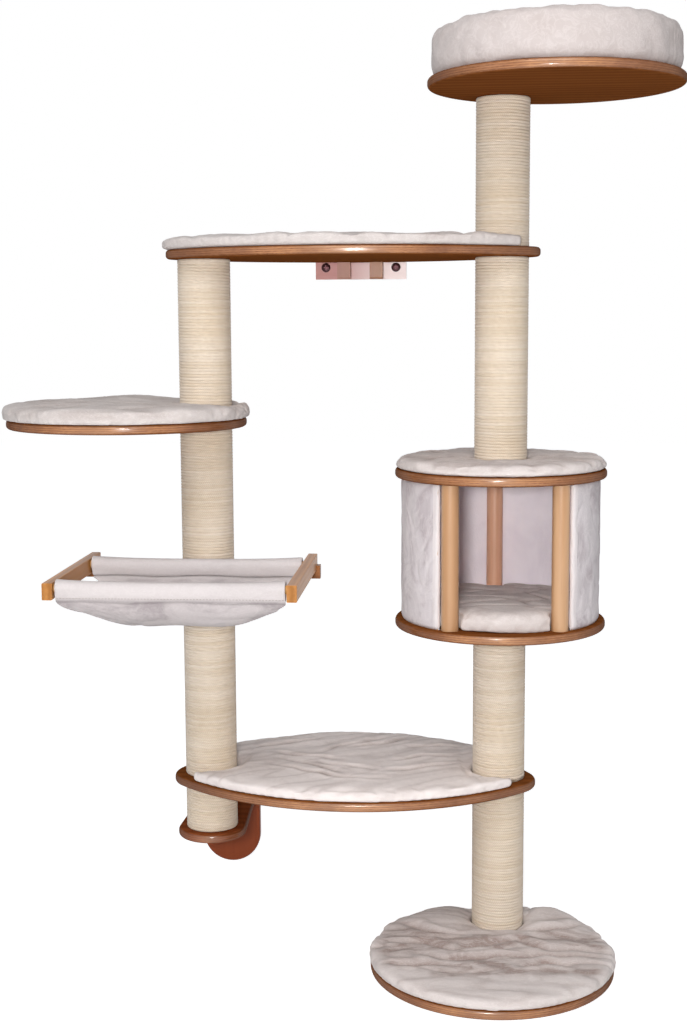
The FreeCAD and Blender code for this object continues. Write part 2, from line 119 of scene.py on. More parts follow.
def colour(red, green, blue):
    """A colour as it is seen, 0 to 255, as the shader wants it."""
    def linear(level):
        level /= 255
        return level / 12.92 if level <= 0.04045 else ((level + 0.055) / 1.055) ** 2.4
    return (linear(red), linear(green), linear(blue), 1.0)


def put_light(name, place, aim, size, power):
    lamp = bpy.data.lights.new(name, "AREA")
    lamp.size = size
    lamp.energy = power
    holder = bpy.data.objects.new(name, lamp)
    way = Vector(aim) - Vector(place)
    holder.matrix_world = Matrix.Translation(place) @ way.to_track_quat("-Z", "Y").to_matrix().to_4x4()
    scene.collection.objects.link(holder)


put_light("flash", (0.05, -3.9, -0.10), (0.0, -0.35, -0.5), 0.3, 69)
put_light("left fill", (-3.0, -2.6, 1.0), (0.0, -0.3, -0.6), 2.0, 7)
put_light("right fill", (3.0, -2.4, 0.6), (0.0, -0.3, -0.6), 2.0, 6)
put_light("from above", (0.0, -3.0, 2.6), (0.0, -0.4, -0.9), 2.5, 56)


def backdrop_rays(tree):
    """1 for the rays that see the background: straight, mirrored or through glass."""
    path = put_node(tree, "ShaderNodeLightPath").outputs
    seen = math_out(tree, "MAXIMUM", path["Is Camera Ray"], path["Is Glossy Ray"])
    return math_out(tree, "MAXIMUM", seen, path["Is Transmission Ray"])


world = bpy.data.worlds.new("studio")
scene.world = world
world.use_nodes = True
world.node_tree.nodes.clear()
fill = put_node(world.node_tree, "ShaderNodeBackground", {"Color": (0.95, 0.97, 1.0, 1), "Strength": 0.34})
white = put_node(world.node_tree, "ShaderNodeBackground", {"Color": (1, 1, 1, 1), "Strength": 1.0})
pick = put_node(world.node_tree, "ShaderNodeMixShader",
                {0: backdrop_rays(world.node_tree), 1: fill.outputs[0], 2: white.outputs[0]})
put_node(world.node_tree, "ShaderNodeOutputWorld", {"Surface": pick.outputs[0]})

FLOOR_HALF = 14.0
corners = ((-1, -1), (1, -1), (1, 1), (-1, 1))
floor = new_piece("floor", [(FLOOR_HALF * x, FLOOR_HALF * y, cad_low.z) for x, y in corners],
                  faces=[(0, 1, 2, 3)])
floor_paint = bpy.data.materials.new("pale floor")
floor_paint.use_nodes = True
floor_tree = floor_paint.node_tree
floor_tree.nodes.clear()
matt = put_node(floor_tree, "ShaderNodeBsdfDiffuse", {"Color": (0.86, 0.86, 0.86, 1)})
glow = put_node(floor_tree, "ShaderNodeEmission", {"Color": (1, 1, 1, 1), "Strength": 0.72})
dark = put_node(floor_tree, "ShaderNodeEmission", {"Strength": 0.0})
shown = put_node(floor_tree, "ShaderNodeMixShader",
                 {0: backdrop_rays(floor_tree), 1: dark.outputs[0], 2: glow.outputs[0]})
both = put_node(floor_tree, "ShaderNodeAddShader", {0: matt.outputs[0], 1: shown.outputs[0]})
put_node(floor_tree, "ShaderNodeOutputMaterial", {"Surface": both.outputs[0]})
floor.data.materials.append(floor_paint)


# ---- sisal wraps ----
# Each post length is wound with one layer of laid sisal rope, glued to its
# core tube. The rope lies flat on the board at each end of a length.
POST_R = 0.060
ROPE_PITCH = 0.0068
ROPE_D = 0.0090          # the turns press into each other
ROPE_STEPS = 48          # straight pieces in a turn of rope
ROPE_SIDES = 8
STRANDS_A_TURN = 84
SISAL = colour(229, 216, 201)
SISAL_SHADE = colour(202, 176, 138)
SISAL_PALE = colour(244, 232, 218)


def new_group(name, inputs, outputs):
    """An effect group; gives its tree and what its inputs feed."""
    tree = bpy.data.node_groups.new(name, "ShaderNodeTree")
    for label, kind, value in inputs:
        socket = tree.interface.new_socket(label, in_out="INPUT", socket_type=kind)
        if value is not None:
            socket.default_value = value
    for label in outputs:
        tree.interface.new_socket(label, in_out="OUTPUT", socket_type="NodeSocketFloat")
    return tree, tree.nodes.new("NodeGroupInput").outputs


def noise_of(tree, vector, scale, detail=3.0, roughness=0.5, distortion=0.0):
    made = put_node(tree, "ShaderNodeTexNoise", {"Vector": vector, "Scale": scale, "Detail": detail,
                                                 "Roughness": roughness, "Distortion": distortion})
    return made.outputs["Fac"]


def laid_rope_group():
    """Strands of a rope that winds up round an upright axis through the vector's zero."""
    tree, given = new_group(
        "laid rope",
        [("Vector", "NodeSocketVector", None), ("Pitch", "NodeSocketFloat", ROPE_PITCH),
         ("Strands", "NodeSocketFloat", STRANDS_A_TURN)],
        ("Height", "Tone"))
    parts = put_node(tree, "ShaderNodeSeparateXYZ", {0: given["Vector"]})
    angle = math_out(tree, "ARCTAN2", parts.outputs["Y"], parts.outputs["X"])
    turn = math_out(tree, "DIVIDE", angle, 2 * math.pi)
    climb = math_out(tree, "DIVIDE", parts.outputs["Z"], given["Pitch"])
    along = math_out(tree, "SUBTRACT", climb, turn)
    number = math_out(tree, "FLOOR", along)
    across = math_out(tree, "FRACT", along)
    jumble = put_node(tree, "ShaderNodeTexWhiteNoise", {"W": number}, noise_dimensions="1D")
    strand = math_out(tree, "MULTIPLY_ADD", turn, given["Strands"], across)
    strand = math_out(tree, "ADD", strand, jumble.outputs["Value"])
    wave = math_out(tree, "SINE", math_out(tree, "MULTIPLY", strand, 2 * math.pi))
    fibre = noise_of(tree, given["Vector"], 900.0)
    height = math_out(tree, "MULTIPLY_ADD", wave, 0.3, 0.5)
    height = math_out(tree, "MULTIPLY_ADD", fibre, 0.5, height)
    slow = noise_of(tree, given["Vector"], 9.0, 2.0)
    # Painted shade and painted highlight: the wave term darkens the low part of each strand and lightens its
    # crown. The rest of the tone changes at random from turn to turn and slowly along the post.
    tone = math_out(tree, "MULTIPLY_ADD", jumble.outputs["Value"], 0.16, 0.42)
    tone = math_out(tree, "MULTIPLY_ADD", slow, 0.3, tone)
    tone = math_out(tree, "MULTIPLY_ADD", wave, 0.1, tone)
    put_node(tree, "NodeGroupOutput", {"Height": height, "Tone": tone})
    return tree


laid_rope = laid_rope_group()


def new_material(name, **principled):
    """A material with its shader; sockets that are the same all over are set on it."""
    made = bpy.data.materials.new(name)
    made.use_nodes = True
    tree = made.node_tree
    tree.nodes.clear()
    settings = {label.replace("_", " "): value for label, value in principled.items()}
    shader = put_node(tree, "ShaderNodeBsdfPrincipled", settings)
    put_node(tree, "ShaderNodeOutputMaterial", {"Surface": shader.outputs[0]})
    return made, tree, shader


def feed(tree, shader, **sources):
    for label, source in sources.items():
        tree.links.new(source, shader.inputs[label.replace("_", " ")])


def effect(tree, group, **sockets):
    """What an effect group gives, with its sockets set."""
    return put_node(tree, "ShaderNodeGroup", sockets, node_tree=group).outputs


def place_of(tree, scale=(1, 1, 1), shift=(0, 0, 0), turn=(0, 0, 0)):
    """Object coordinates, moved, turned and scaled for a pattern."""
    source = put_node(tree, "ShaderNodeTexCoord")
    return put_node(tree, "ShaderNodeMapping",
                    {"Vector": source.outputs["Object"], "Location": shift,
                     "Rotation": turn, "Scale": scale}).outputs[0]


def blend_of(tree, factor, first, second):
    made = put_node(tree, "ShaderNodeMix", {0: factor, 6: first, 7: second}, data_type="RGBA")
    return made.outputs[2]


def relief(tree, shader, height, strength, distance):
    bump = put_node(tree, "ShaderNodeBump",
                    {"Height": height, "Strength": strength, "Distance": distance})
    tree.links.new(bump.outputs[0], shader.inputs["Normal"])


def sisal_material(name, x, y):
    made, tree, shader = new_material(name, Roughness=0.85, Specular_IOR_Level=0.25,
                                      Sheen_Weight=0.15)
    rope = effect(tree, laid_rope, Vector=place_of(tree, shift=(-x, -y, 0)))
    shade = blend_of(tree, rope["Tone"], SISAL_SHADE, SISAL)
    pale = math_out(tree, "MULTIPLY", math_out(tree, "SUBTRACT", rope["Tone"], 0.55), 1.6)
    feed(tree, shader, Base_Color=blend_of(tree, pale, shade, SISAL_PALE))
    relief(tree, shader, rope["Height"], 0.5, 0.0007)
    return made


def growing_tree(name, sizes, **others):
    """A geometry tree with sizes and other inputs, each with its kind; gives its inputs too."""
    tree = bpy.data.node_groups.new(name, "GeometryNodeTree")
    kinds = {**{label: "Float" for label in sizes}, **others}
    for label, kind in kinds.items():
        tree.interface.new_socket(label, in_out="INPUT", socket_type="NodeSocket" + kind)
    tree.interface.new_socket("Geometry", in_out="OUTPUT", socket_type="NodeSocketGeometry")
    return tree, tree.nodes.new("NodeGroupInput").outputs


def real_output(tree, geometry, material):
    """The tree's result: real faces, each with the material."""
    real = put_node(tree, "GeometryNodeRealizeInstances", {"Geometry": geometry})
    dressed = put_node(tree, "GeometryNodeSetMaterial", {"Geometry": real.outputs[0], "Material": material})
    put_node(tree, "NodeGroupOutput", {"Geometry": dressed.outputs[0]})


def vector_of(tree, x=0.0, y=0.0, z=0.0):
    return put_node(tree, "ShaderNodeCombineXYZ", {0: x, 1: y, 2: z}).outputs[0]


def winding_tree():
    """A rope wound up a post between two boards, flat on the board at each end."""
    sizes = ("Axis X", "Axis Y", "Bottom", "Top", "Coil radius", "Rope radius", "Pitch")
    tree, given = growing_tree("rope winding", sizes, Sisal="Material")
    height = math_out(tree, "SUBTRACT", given["Top"], given["Bottom"])
    rise = math_out(tree, "ADD", height, given["Pitch"])
    turns = math_out(tree, "DIVIDE", rise, given["Pitch"])
    coil = put_node(tree, "GeometryNodeCurveSpiral",
                    {"Resolution": ROPE_STEPS, "Rotations": turns, "Start Radius": given["Coil radius"],
                     "End Radius": given["Coil radius"], "Height": rise})
    spot = put_node(tree, "GeometryNodeInputPosition")
    here = put_node(tree, "ShaderNodeSeparateXYZ", {0: spot.outputs[0]})
    level = math_out(tree, "ADD", here.outputs["Z"], given["Bottom"])
    level = math_out(tree, "SUBTRACT", level, given["Rope radius"])
    lowest = math_out(tree, "ADD", given["Bottom"], given["Rope radius"])
    highest = math_out(tree, "SUBTRACT", given["Top"], given["Rope radius"])
    level = math_out(tree, "MINIMUM", math_out(tree, "MAXIMUM", level, lowest), highest)
    there = vector_of(tree, math_out(tree, "ADD", here.outputs["X"], given["Axis X"]),
                      math_out(tree, "ADD", here.outputs["Y"], given["Axis Y"]), level)
    moved = put_node(tree, "GeometryNodeSetPosition", {"Geometry": coil.outputs[0], "Position": there})
    section = put_node(tree, "GeometryNodeCurvePrimitiveCircle",
                       {"Resolution": ROPE_SIDES, "Radius": given["Rope radius"]})
    rope = put_node(tree, "GeometryNodeCurveToMesh",
                    {"Curve": moved.outputs[0], "Profile Curve": section.outputs[0], "Fill Caps": True})
    smooth = put_node(tree, "GeometryNodeSetShadeSmooth", {"Geometry": rope.outputs[0]})
    real_output(tree, smooth.outputs[0], given["Sisal"])
    return tree


def keep_result(piece):
    """Turns a piece and its modifiers into a plain mesh."""
    graph = bpy.context.evaluated_depsgraph_get()
    mesh = bpy.data.meshes.new_from_object(piece.evaluated_get(graph))
    piece.modifiers.clear()
    piece.data = mesh
    return piece


def grown(name, tree, values, points=(), edges=()):
    """A piece made by a geometry tree, with its named inputs set."""
    piece = new_piece(name, points, edges)
    modifier = piece.modifiers.new(name, "NODES")
    modifier.node_group = tree
    for label, value in values.items():
        modifier[tree.interface.items_tree[label].identifier] = value
    return keep_result(piece)


winding = winding_tree()
posts = {}
for post, lengths in (("r", 4), ("l", 3)):
    low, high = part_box("post_" + post + "1_sisal")
    posts[post] = (low + high) / 2
    sisal = sisal_material("sisal rope " + post, posts[post].x, posts[post].y)
    for number in range(1, lengths + 1):
        node = f"post_{post}{number}_sisal"
        low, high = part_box(node)
        wrap = grown(f"rope_{post}{number}", winding,
                     {"Axis X": posts[post].x, "Axis Y": posts[post].y, "Bottom": low.z, "Top": high.z,
                      "Coil radius": POST_R - ROPE_D / 2, "Rope radius": ROPE_D / 2,
                      "Pitch": ROPE_PITCH, "Sisal": sisal})
        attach(wrap, "frame")
        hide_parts(node)


# ---- inside the posts ----
# Wound paper core tubes with a turned softwood plug in each end, joined by
# zinc plated studs, bolts and screws. All of it is hidden once the tree stands.
def set_material(node, material):
    mesh = nodes[node].data
    mesh.materials.clear()
    mesh.materials.append(material)


def mottled(name, first, second, stretch, roughness, bump, **principled):
    """A finish with a slow change of tone and a fine grain."""
    made, tree, shader = new_material(name, **principled)
    where = place_of(tree, scale=stretch)
    fine = noise_of(tree, where, 160.0)
    feed(tree, shader, Base_Color=blend_of(tree, noise_of(tree, where, 12.0), first, second),
         Roughness=math_out(tree, "MULTIPLY_ADD", fine, 0.15, roughness))
    relief(tree, shader, fine, bump, 0.0004)
    return made


kraft = mottled("kraft tube", colour(168, 138, 100), colour(140, 110, 78), (1, 1, 6), 0.75, 0.2)
zinc = mottled("zinc plate", colour(190, 192, 196), colour(150, 152, 158), (1, 1, 1), 0.3, 0.1, Metallic=1.0)
softwood = mottled("plug wood", colour(214, 180, 132), colour(186, 148, 100), (6, 6, 1), 0.6, 0.25)
for node in nodes:
    if node.endswith("_core"):
        set_material(node, kraft)
    elif node.endswith("_plugs"):
        set_material(node, softwood)
    elif node.endswith("_screws") or node in ("joining_studs", "flat_head_bolts"):
        set_material(node, zinc)


# ---- plywood boards ----
# Nine ply birch, stained warm brown, with a rounded, lacquered bare rim where
# the plies show as light and dark lines. Along a rim, painted highlight makes it
# paler mid-way across a board, and painted shade makes it darker at the board's ends.
PLIES = 9
PLY_LONG = colour(204, 142, 92)
# colour of the painted highlight mid-way across a board's rim
PLY_HIGHLIGHT = colour(240, 196, 156)
PLY_END = colour(116, 64, 34)
PLY_FACE = colour(138, 82, 42)
PLY_FACE_DARK = colour(108, 60, 28)
GLUE = colour(74, 40, 22)


def ramp_of(tree, value, start, end, low=0.0, high=1.0, **settings):
    """Low at the start and before, high at the end and after."""
    sockets = {"Value": value, "From Min": start, "From Max": end, "To Min": low, "To Max": high}
    return put_node(tree, "ShaderNodeMapRange", sockets, **settings).outputs[0]


def plywood_group():
    """Plies stacked from Bottom up: how dark a ply is, its glue lines and its grain."""
    tree, given = new_group(
        "plies",
        [("Vector", "NodeSocketVector", None), ("Bottom", "NodeSocketFloat", 0.0),
         ("Thickness", "NodeSocketFloat", 0.021)],
        ("End grain", "Glue", "Outer", "Grain"))
    parts = put_node(tree, "ShaderNodeSeparateXYZ", {0: given["Vector"]})
    wander = noise_of(tree, given["Vector"], 14.0, 1.0)
    depth = math_out(tree, "SUBTRACT", parts.outputs["Z"], given["Bottom"])
    share = math_out(tree, "DIVIDE", depth, given["Thickness"])
    stack = math_out(tree, "MULTIPLY", share, float(PLIES))
    inner = math_out(tree, "MULTIPLY_ADD", wander, 0.5, math_out(tree, "SUBTRACT", stack, 0.25))
    ply = math_out(tree, "FLOOR", inner)
    odd = math_out(tree, "MODULO", math_out(tree, "ABSOLUTE", ply), 2.0)
    inside = math_out(tree, "ABSOLUTE", math_out(tree, "SUBTRACT", math_out(tree, "FRACT", inner), 0.5))
    glue = ramp_of(tree, inside, 0.38, 0.5)
    outer = math_out(tree, "ABSOLUTE", math_out(tree, "SUBTRACT", share, 0.5))
    outer = math_out(tree, "GREATER_THAN", outer, 0.5 - 0.85 / PLIES)
    grains = []
    for stretch in ((4, 60, 400), (60, 4, 400)):
        drawn = put_node(tree, "ShaderNodeMapping", {"Vector": given["Vector"], "Scale": stretch})
        grains.append(noise_of(tree, drawn.outputs[0], 2.0, 4.0))
    grain = put_node(tree, "ShaderNodeMix", {0: odd, 2: grains[0], 3: grains[1]}, data_type="FLOAT")
    put_node(tree, "NodeGroupOutput", {"End grain": odd, "Glue": glue, "Outer": outer,
                                       "Grain": grain.outputs[0]})
    return tree


plies = plywood_group()


def wood_grain_group():
    """Grain along the vector's X: broad figure, and fine pores for relief."""
    tree, given = new_group(
        "wood grain",
        [("Vector", "NodeSocketVector", None), ("Figure", "NodeSocketFloat", 9.0),
         ("Pores", "NodeSocketFloat", 70.0)],
        ("Figure", "Pores"))
    long = put_node(tree, "ShaderNodeMapping", {"Vector": given["Vector"], "Scale": (0.12, 1, 1)})
    bend = noise_of(tree, long.outputs[0], given["Figure"], distortion=0.6)
    rings = put_node(tree, "ShaderNodeTexWave", {"Vector": long.outputs[0], "Scale": given["Figure"],
                                                 "Distortion": 5.0, "Detail": 3.0},
                     bands_direction="Y")
    figure = put_node(tree, "ShaderNodeMix", {0: 0.45, 2: bend, 3: rings.outputs["Fac"]},
                      data_type="FLOAT")
    thin = put_node(tree, "ShaderNodeMapping", {"Vector": given["Vector"], "Scale": (0.04, 1, 1)})
    pores = noise_of(tree, thin.outputs[0], given["Pores"], 4.0)
    put_node(tree, "NodeGroupOutput", {"Figure": figure.outputs[0], "Pores": pores})
    return tree


wood_grain = wood_grain_group()


def plywood(node, face=PLY_FACE, face_dark=PLY_FACE_DARK, long_ply=PLY_LONG, end_ply=PLY_END):
    low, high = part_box(node)
    made, tree, shader = new_material("plywood " + node, Coat_Roughness=0.2, Specular_IOR_Level=0.0)
    where = place_of(tree)
    stack = effect(tree, plies, Vector=where, Bottom=low.z, Thickness=high.z - low.z)
    figure = effect(tree, wood_grain, Vector=where)
    edge = blend_of(tree, stack["End grain"], long_ply, end_ply)
    streak = math_out(tree, "MULTIPLY_ADD", stack["Grain"], 1.6, -0.45)
    edge = blend_of(tree, streak, edge, blend_of(tree, stack["End grain"], face, long_ply))
    patchy = ramp_of(tree, noise_of(tree, where, 11.0), 0.4, 0.65, high=0.6)
    edge = blend_of(tree, patchy, edge, end_ply)
    half = (high.x - low.x) / 2
    parts = put_node(tree, "ShaderNodeSeparateXYZ", {0: where})
    across = math_out(tree, "ABSOLUTE", math_out(tree, "SUBTRACT", parts.outputs["X"], low.x + half))
    # painted highlight: the rim is blended paler towards the middle of the board's width
    edge = blend_of(tree, ramp_of(tree, across, 0.0, 0.45 * half, low=0.16, high=0.0), edge, PLY_HIGHLIGHT)
    # painted shade: the rim is blended darker towards the board's ends along X
    edge = blend_of(tree, ramp_of(tree, across, 0.3 * half, half, high=0.8), edge, PLY_FACE_DARK)
    edge = blend_of(tree, math_out(tree, "MULTIPLY", stack["Glue"], 0.7), edge, GLUE)
    veneer = blend_of(tree, figure["Figure"], face, face_dark)
    bare = math_out(tree, "SUBTRACT", 1.0, stack["Outer"])
    turned = put_node(tree, "ShaderNodeLayerWeight", {"Blend": 0.5})
    coat = math_out(tree, "MULTIPLY_ADD", turned.outputs["Facing"], -1.5, 1.2)
    coat = math_out(tree, "MULTIPLY", bare, math_out(tree, "MAXIMUM", coat, 0.1))
    feed(tree, shader, Base_Color=blend_of(tree, stack["Outer"], edge, veneer), Coat_Weight=coat,
         Roughness=math_out(tree, "MULTIPLY_ADD", figure["Pores"], 0.3, 0.4))
    relief(tree, shader, math_out(tree, "ADD", figure["Pores"], stack["Grain"]), 0.12, 0.0004)
    set_material(node, made)


for node in ("base_board", "lower_shelf_board", "upper_shelf_board", "left_shelf_board", "top_board",
             "den_floor_board", "den_roof_board"):
    plywood(node)
plywood("foot_board", face=colour(150, 82, 46), face_dark=colour(112, 58, 32),
        long_ply=colour(170, 98, 56), end_ply=colour(112, 58, 32))


# ---- brackets ----
# The upper bracket is pale, pinkish stained wood with two darker ribs; the
# plate under the left post is stained reddish brown. Both are lacquered.
# Towards +X the bracket's plate is painted paler, a painted highlight, and its
# rib darker and more orange, painted shade.
VEINS = 0.5              # how strongly the pores show as darker lines


def timber(name, light, dark, along="X", figure=9.0, pores=70.0, shine=0.15, haze=0.2, right=None):
    """Solid wood with its grain along one axis; right is a second light and dark, blended in towards +X,
    where it paints light and shade.
    """
    turn = {"X": (0, 0, 0), "Y": (0, 0, math.pi / 2), "Z": (0, math.pi / 2, 0)}[along]
    made, tree, shader = new_material(name, Coat_Weight=shine, Coat_Roughness=haze,
                                      Specular_IOR_Level=0.1)
    grain = effect(tree, wood_grain, Vector=place_of(tree, turn=turn), Figure=figure, Pores=pores)
    if right:
        here = put_node(tree, "ShaderNodeSeparateXYZ", {0: place_of(tree)})
        share = ramp_of(tree, here.outputs["X"], -0.06, 0.06)
        light = blend_of(tree, share, light, right[0])
        dark = blend_of(tree, share, dark, right[1])
    base = blend_of(tree, grain["Figure"], light, dark)
    vein = ramp_of(tree, grain["Pores"], 0.52, 0.75, high=VEINS)
    feed(tree, shader, Base_Color=blend_of(tree, vein, base, dark),
         Roughness=math_out(tree, "MULTIPLY_ADD", grain["Pores"], 0.25, 0.26))
    relief(tree, shader, grain["Pores"], 0.15, 0.0004)
    return made


# painted highlight: the plate turns near white towards +X
set_material("bracket_plate", timber("bracket plate wood", colour(214, 158, 152), colour(190, 130, 124), "X",
                                     right=(colour(250, 232, 230), colour(236, 212, 208))))
# painted shade: the rib towards +X is darker and more orange
set_material("bracket_ribs", timber("bracket rib wood", colour(200, 154, 140), colour(166, 116, 102), "Z",
                                    right=(colour(188, 126, 72), colour(146, 88, 46))))
set_material("foot_wall_plate", timber("wall plate wood", colour(166, 84, 46), colour(128, 58, 28), "Z"))


# ---- den dowels and hammock wood ----
# Turned beech dowels, and beech bars with orange brown stain.
dowel_wood = timber("dowel beech", colour(205, 163, 123), colour(176, 128, 86), "Z", 14.0, 120.0, 1.0, 0.4)
# The rear dowel gets a lighter, pinker copy of the dowel wood: painted light that makes up for the shade at
# the back of the den.
rear_dowel_lit_wood = timber("rear dowel beech painted lighter", colour(236, 182, 150), colour(212, 152, 116), "Z", 14.0, 120.0,
                         1.0, 0.4)
arm_wood = timber("arm beech", colour(196, 136, 76), colour(146, 92, 42), "Y", 16.0, 110.0)
bar_wood = timber("crossbar beech", colour(160, 104, 60), colour(100, 58, 32), "X", 16.0, 110.0)
set_material("den_front_dowels", dowel_wood)
set_material("den_rear_dowel", rear_dowel_lit_wood)
set_material("hammock_arm_left", arm_wood)
set_material("hammock_arm_right", arm_wood)
set_material("hammock_crossbar", bar_wood)
set_material("hammock_rods", timber("rod beech", colour(208, 164, 106), colour(170, 122, 70), "X",
                                    14.0, 120.0))
set_material("den_wall_shell", timber("bent ply", colour(206, 166, 118), colour(176, 132, 86), "Z"))


# ---- plush mats ----
# Flat mats of cream plush over thin wadding, cut out round the posts. They lie
# loose on the boards, crease where they are pressed, and hang a little over the rim.
PLUSH = colour(221, 211, 207)
PLUSH_SHADE = colour(164, 146, 139)
# the near-white of the painted glints on crushed pile
PLUSH_GLINT = colour(246, 240, 238)


def plush_group():
    """Short pile: patches brushed one way or the other, painted highlights (glints) on crushed edges, and the
    pile itself.
    """
    tree, given = new_group(
        "plush nap",
        [("Vector", "NodeSocketVector", None), ("Patch", "NodeSocketFloat", 9.0),
         ("Crush", "NodeSocketFloat", 40.0), ("Pile", "NodeSocketFloat", 420.0)],
        ("Shade", "Glints", "Pile"))
    where = given["Vector"]
    patch = noise_of(tree, where, given["Patch"], 4.0, 0.6, 0.8)
    shade = ramp_of(tree, patch, 0.46, 0.66, interpolation_type="SMOOTHSTEP")
    crush = noise_of(tree, where, given["Crush"], 3.0, 0.6, 1.5)
    ridge = math_out(tree, "ABSOLUTE", math_out(tree, "SUBTRACT", crush, 0.5))
    pile = noise_of(tree, where, given["Pile"])
    height = math_out(tree, "MULTIPLY_ADD", crush, 1.2, pile)
    put_node(tree, "NodeGroupOutput", {"Shade": shade, "Glints": ramp_of(tree, ridge, 0.05, 0.0),
                                       "Pile": height})
    return tree


plush_nap = plush_group()


def plush(name, light=PLUSH, dark=PLUSH_SHADE, stretch=(1, 1, 1), turn=0.0, patch=9.0, crush=40.0,
          brushed=0.7, glint_weight=0.2, marked=False):
    """Cream pile; brushed is how dark its turned patches are, and the glint weight how bright the painted
    highlights on its crushed edges are.

    A marked piece carries two attributes of painted shade: one darkens its tops, inner and under sides, and
    is partly real rubbed-down pile on the base mat; the other darkens its creases and seams.
    """
    made, tree, shader = new_material(name, Roughness=0.9, Specular_IOR_Level=0.1, Sheen_Weight=0.12,
                                      Sheen_Roughness=0.5)
    where = place_of(tree, scale=stretch, turn=(0, 0, turn))
    nap = effect(tree, plush_nap, Vector=where, Patch=patch, Crush=crush)
    tone = math_out(tree, "MULTIPLY", nap["Shade"], brushed)
    # Painted shade from the piece's attributes: darker tops, inner and under sides, partly real rubbed pile
    # on the base mat, and darker creases and seams.
    if marked:
        rubbed = put_node(tree, "ShaderNodeAttribute", attribute_name="rubbed").outputs["Fac"]
        folded = put_node(tree, "ShaderNodeAttribute", attribute_name="folded").outputs["Fac"]
        tone = math_out(tree, "MULTIPLY", tone, math_out(tree, "MULTIPLY_ADD", rubbed, 0.85, 0.15))
        tone = math_out(tree, "ADD", tone, math_out(tree, "MULTIPLY", rubbed, 0.34))
        tone = math_out(tree, "MULTIPLY_ADD", folded, 0.75, tone)
    base = blend_of(tree, tone, light, dark)
    # Painted highlight: glints on the crushed pile, blended towards a near-white colour.
    bright = math_out(tree, "MULTIPLY", nap["Glints"], glint_weight)
    feed(tree, shader, Base_Color=blend_of(tree, bright, base, PLUSH_GLINT))
    relief(tree, shader, nap["Pile"], 0.5, 0.0012)
    return made


def even_copy(node, name, voxel, shape=None):
    """A copy of a node's solid with small even faces; shape may move its points first."""
    piece = new_piece(name)
    work = bmesh.new()
    work.from_mesh(nodes[node].data)
    bmesh.ops.remove_doubles(work, verts=work.verts, dist=1e-5)
    work.to_mesh(piece.data)
    work.free()
    if shape:
        set_points(piece, shape(get_points(piece)))
    modifier = piece.modifiers.new("even faces", "REMESH")
    modifier.mode = "VOXEL"
    modifier.voxel_size = voxel
    return keep_result(piece)


def get_points(piece, of="co"):
    found = np.zeros(len(piece.data.vertices) * 3)
    source = piece.data.vertices if of == "co" else piece.data.vertex_normals
    source.foreach_get("co" if of == "co" else "vector", found)
    return found.reshape(-1, 3)


def set_points(piece, points):
    piece.data.vertices.foreach_set("co", np.asarray(points, float).ravel())
    piece.data.update()


def puff(piece, stuck, pressure, growth, cap):
    """Lets the cover swell and crease as cloth over its filling; points below stuck stay."""
    rest = get_points(piece)
    group = piece.vertex_groups.new(name="held")
    group.add([int(i) for i in np.flatnonzero(rest[:, 2] < stuck)], 1.0, "REPLACE")
    cover = piece.modifiers.new("cover", "CLOTH")
    settings = cover.settings
    settings.quality = 4
    settings.vertex_group_mass = "held"
    settings.use_pressure = True
    settings.uniform_pressure_force = pressure
    settings.shrink_min = -growth
    settings.effector_weights.gravity = 0
    cover.collision_settings.use_collision = False
    for step in range(1, CLOTH_STEPS + 1):
        scene.frame_set(step)
    graph = bpy.context.evaluated_depsgraph_get()
    swollen = piece.evaluated_get(graph).data
    moved = np.zeros(len(swollen.vertices) * 3)
    swollen.vertices.foreach_get("co", moved)
    shift = moved.reshape(-1, 3) - rest
    scene.frame_set(1)
    piece.modifiers.clear()
    piece.vertex_groups.clear()
    far = np.linalg.norm(shift, axis=1, keepdims=True) + 1e-9
    set_points(piece, rest + shift / far * cap * np.tanh(far / cap))


def lumps(points, size, seed):
    """Smooth random heights of about -1 to 1; size is a lump's length along x, y and z."""
    spots = points / np.array(size) + seed * 17.3
    return np.array([noise.noise(spot) for spot in spots])


def creases(points, size, seed, width=0.1):
    """Narrow lines, 1 at a crease and 0 away from it."""
    return np.exp(-(lumps(points, size, seed) / width) ** 2)


def turned(points, angle):
    """Points turned about the upright axis, so that a stretched pattern runs at an angle."""
    flat = points.copy()
    flat[:, 0] = points[:, 0] * math.cos(angle) + points[:, 1] * math.sin(angle)
    flat[:, 1] = points[:, 1] * math.cos(angle) - points[:, 0] * math.sin(angle)
    return flat


def smooth_faces(piece, levels=1):
    if levels:
        modifier = piece.modifiers.new("fine", "SUBSURF")
        modifier.levels = modifier.render_levels = levels
        keep_result(piece)
    piece.data.polygons.foreach_set("use_smooth", [True] * len(piece.data.polygons))


def raised(piece, height, seat=None):
    """Moves the points along their normals by a height each, and none below the seat."""
    points = get_points(piece) + get_points(piece, "normal") * height[:, None]
    if seat is not None:
        points[:, 2] = np.maximum(points[:, 2], seat + 0.0002)
    set_points(piece, points)


def dress(piece, material, node, body):
    """Puts the soft piece in place of its plain solid."""
    piece.data.materials.append(material)
    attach(piece, body)
    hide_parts(node)


CLOTH_STEPS = 14
MAT_VOXEL = 0.007


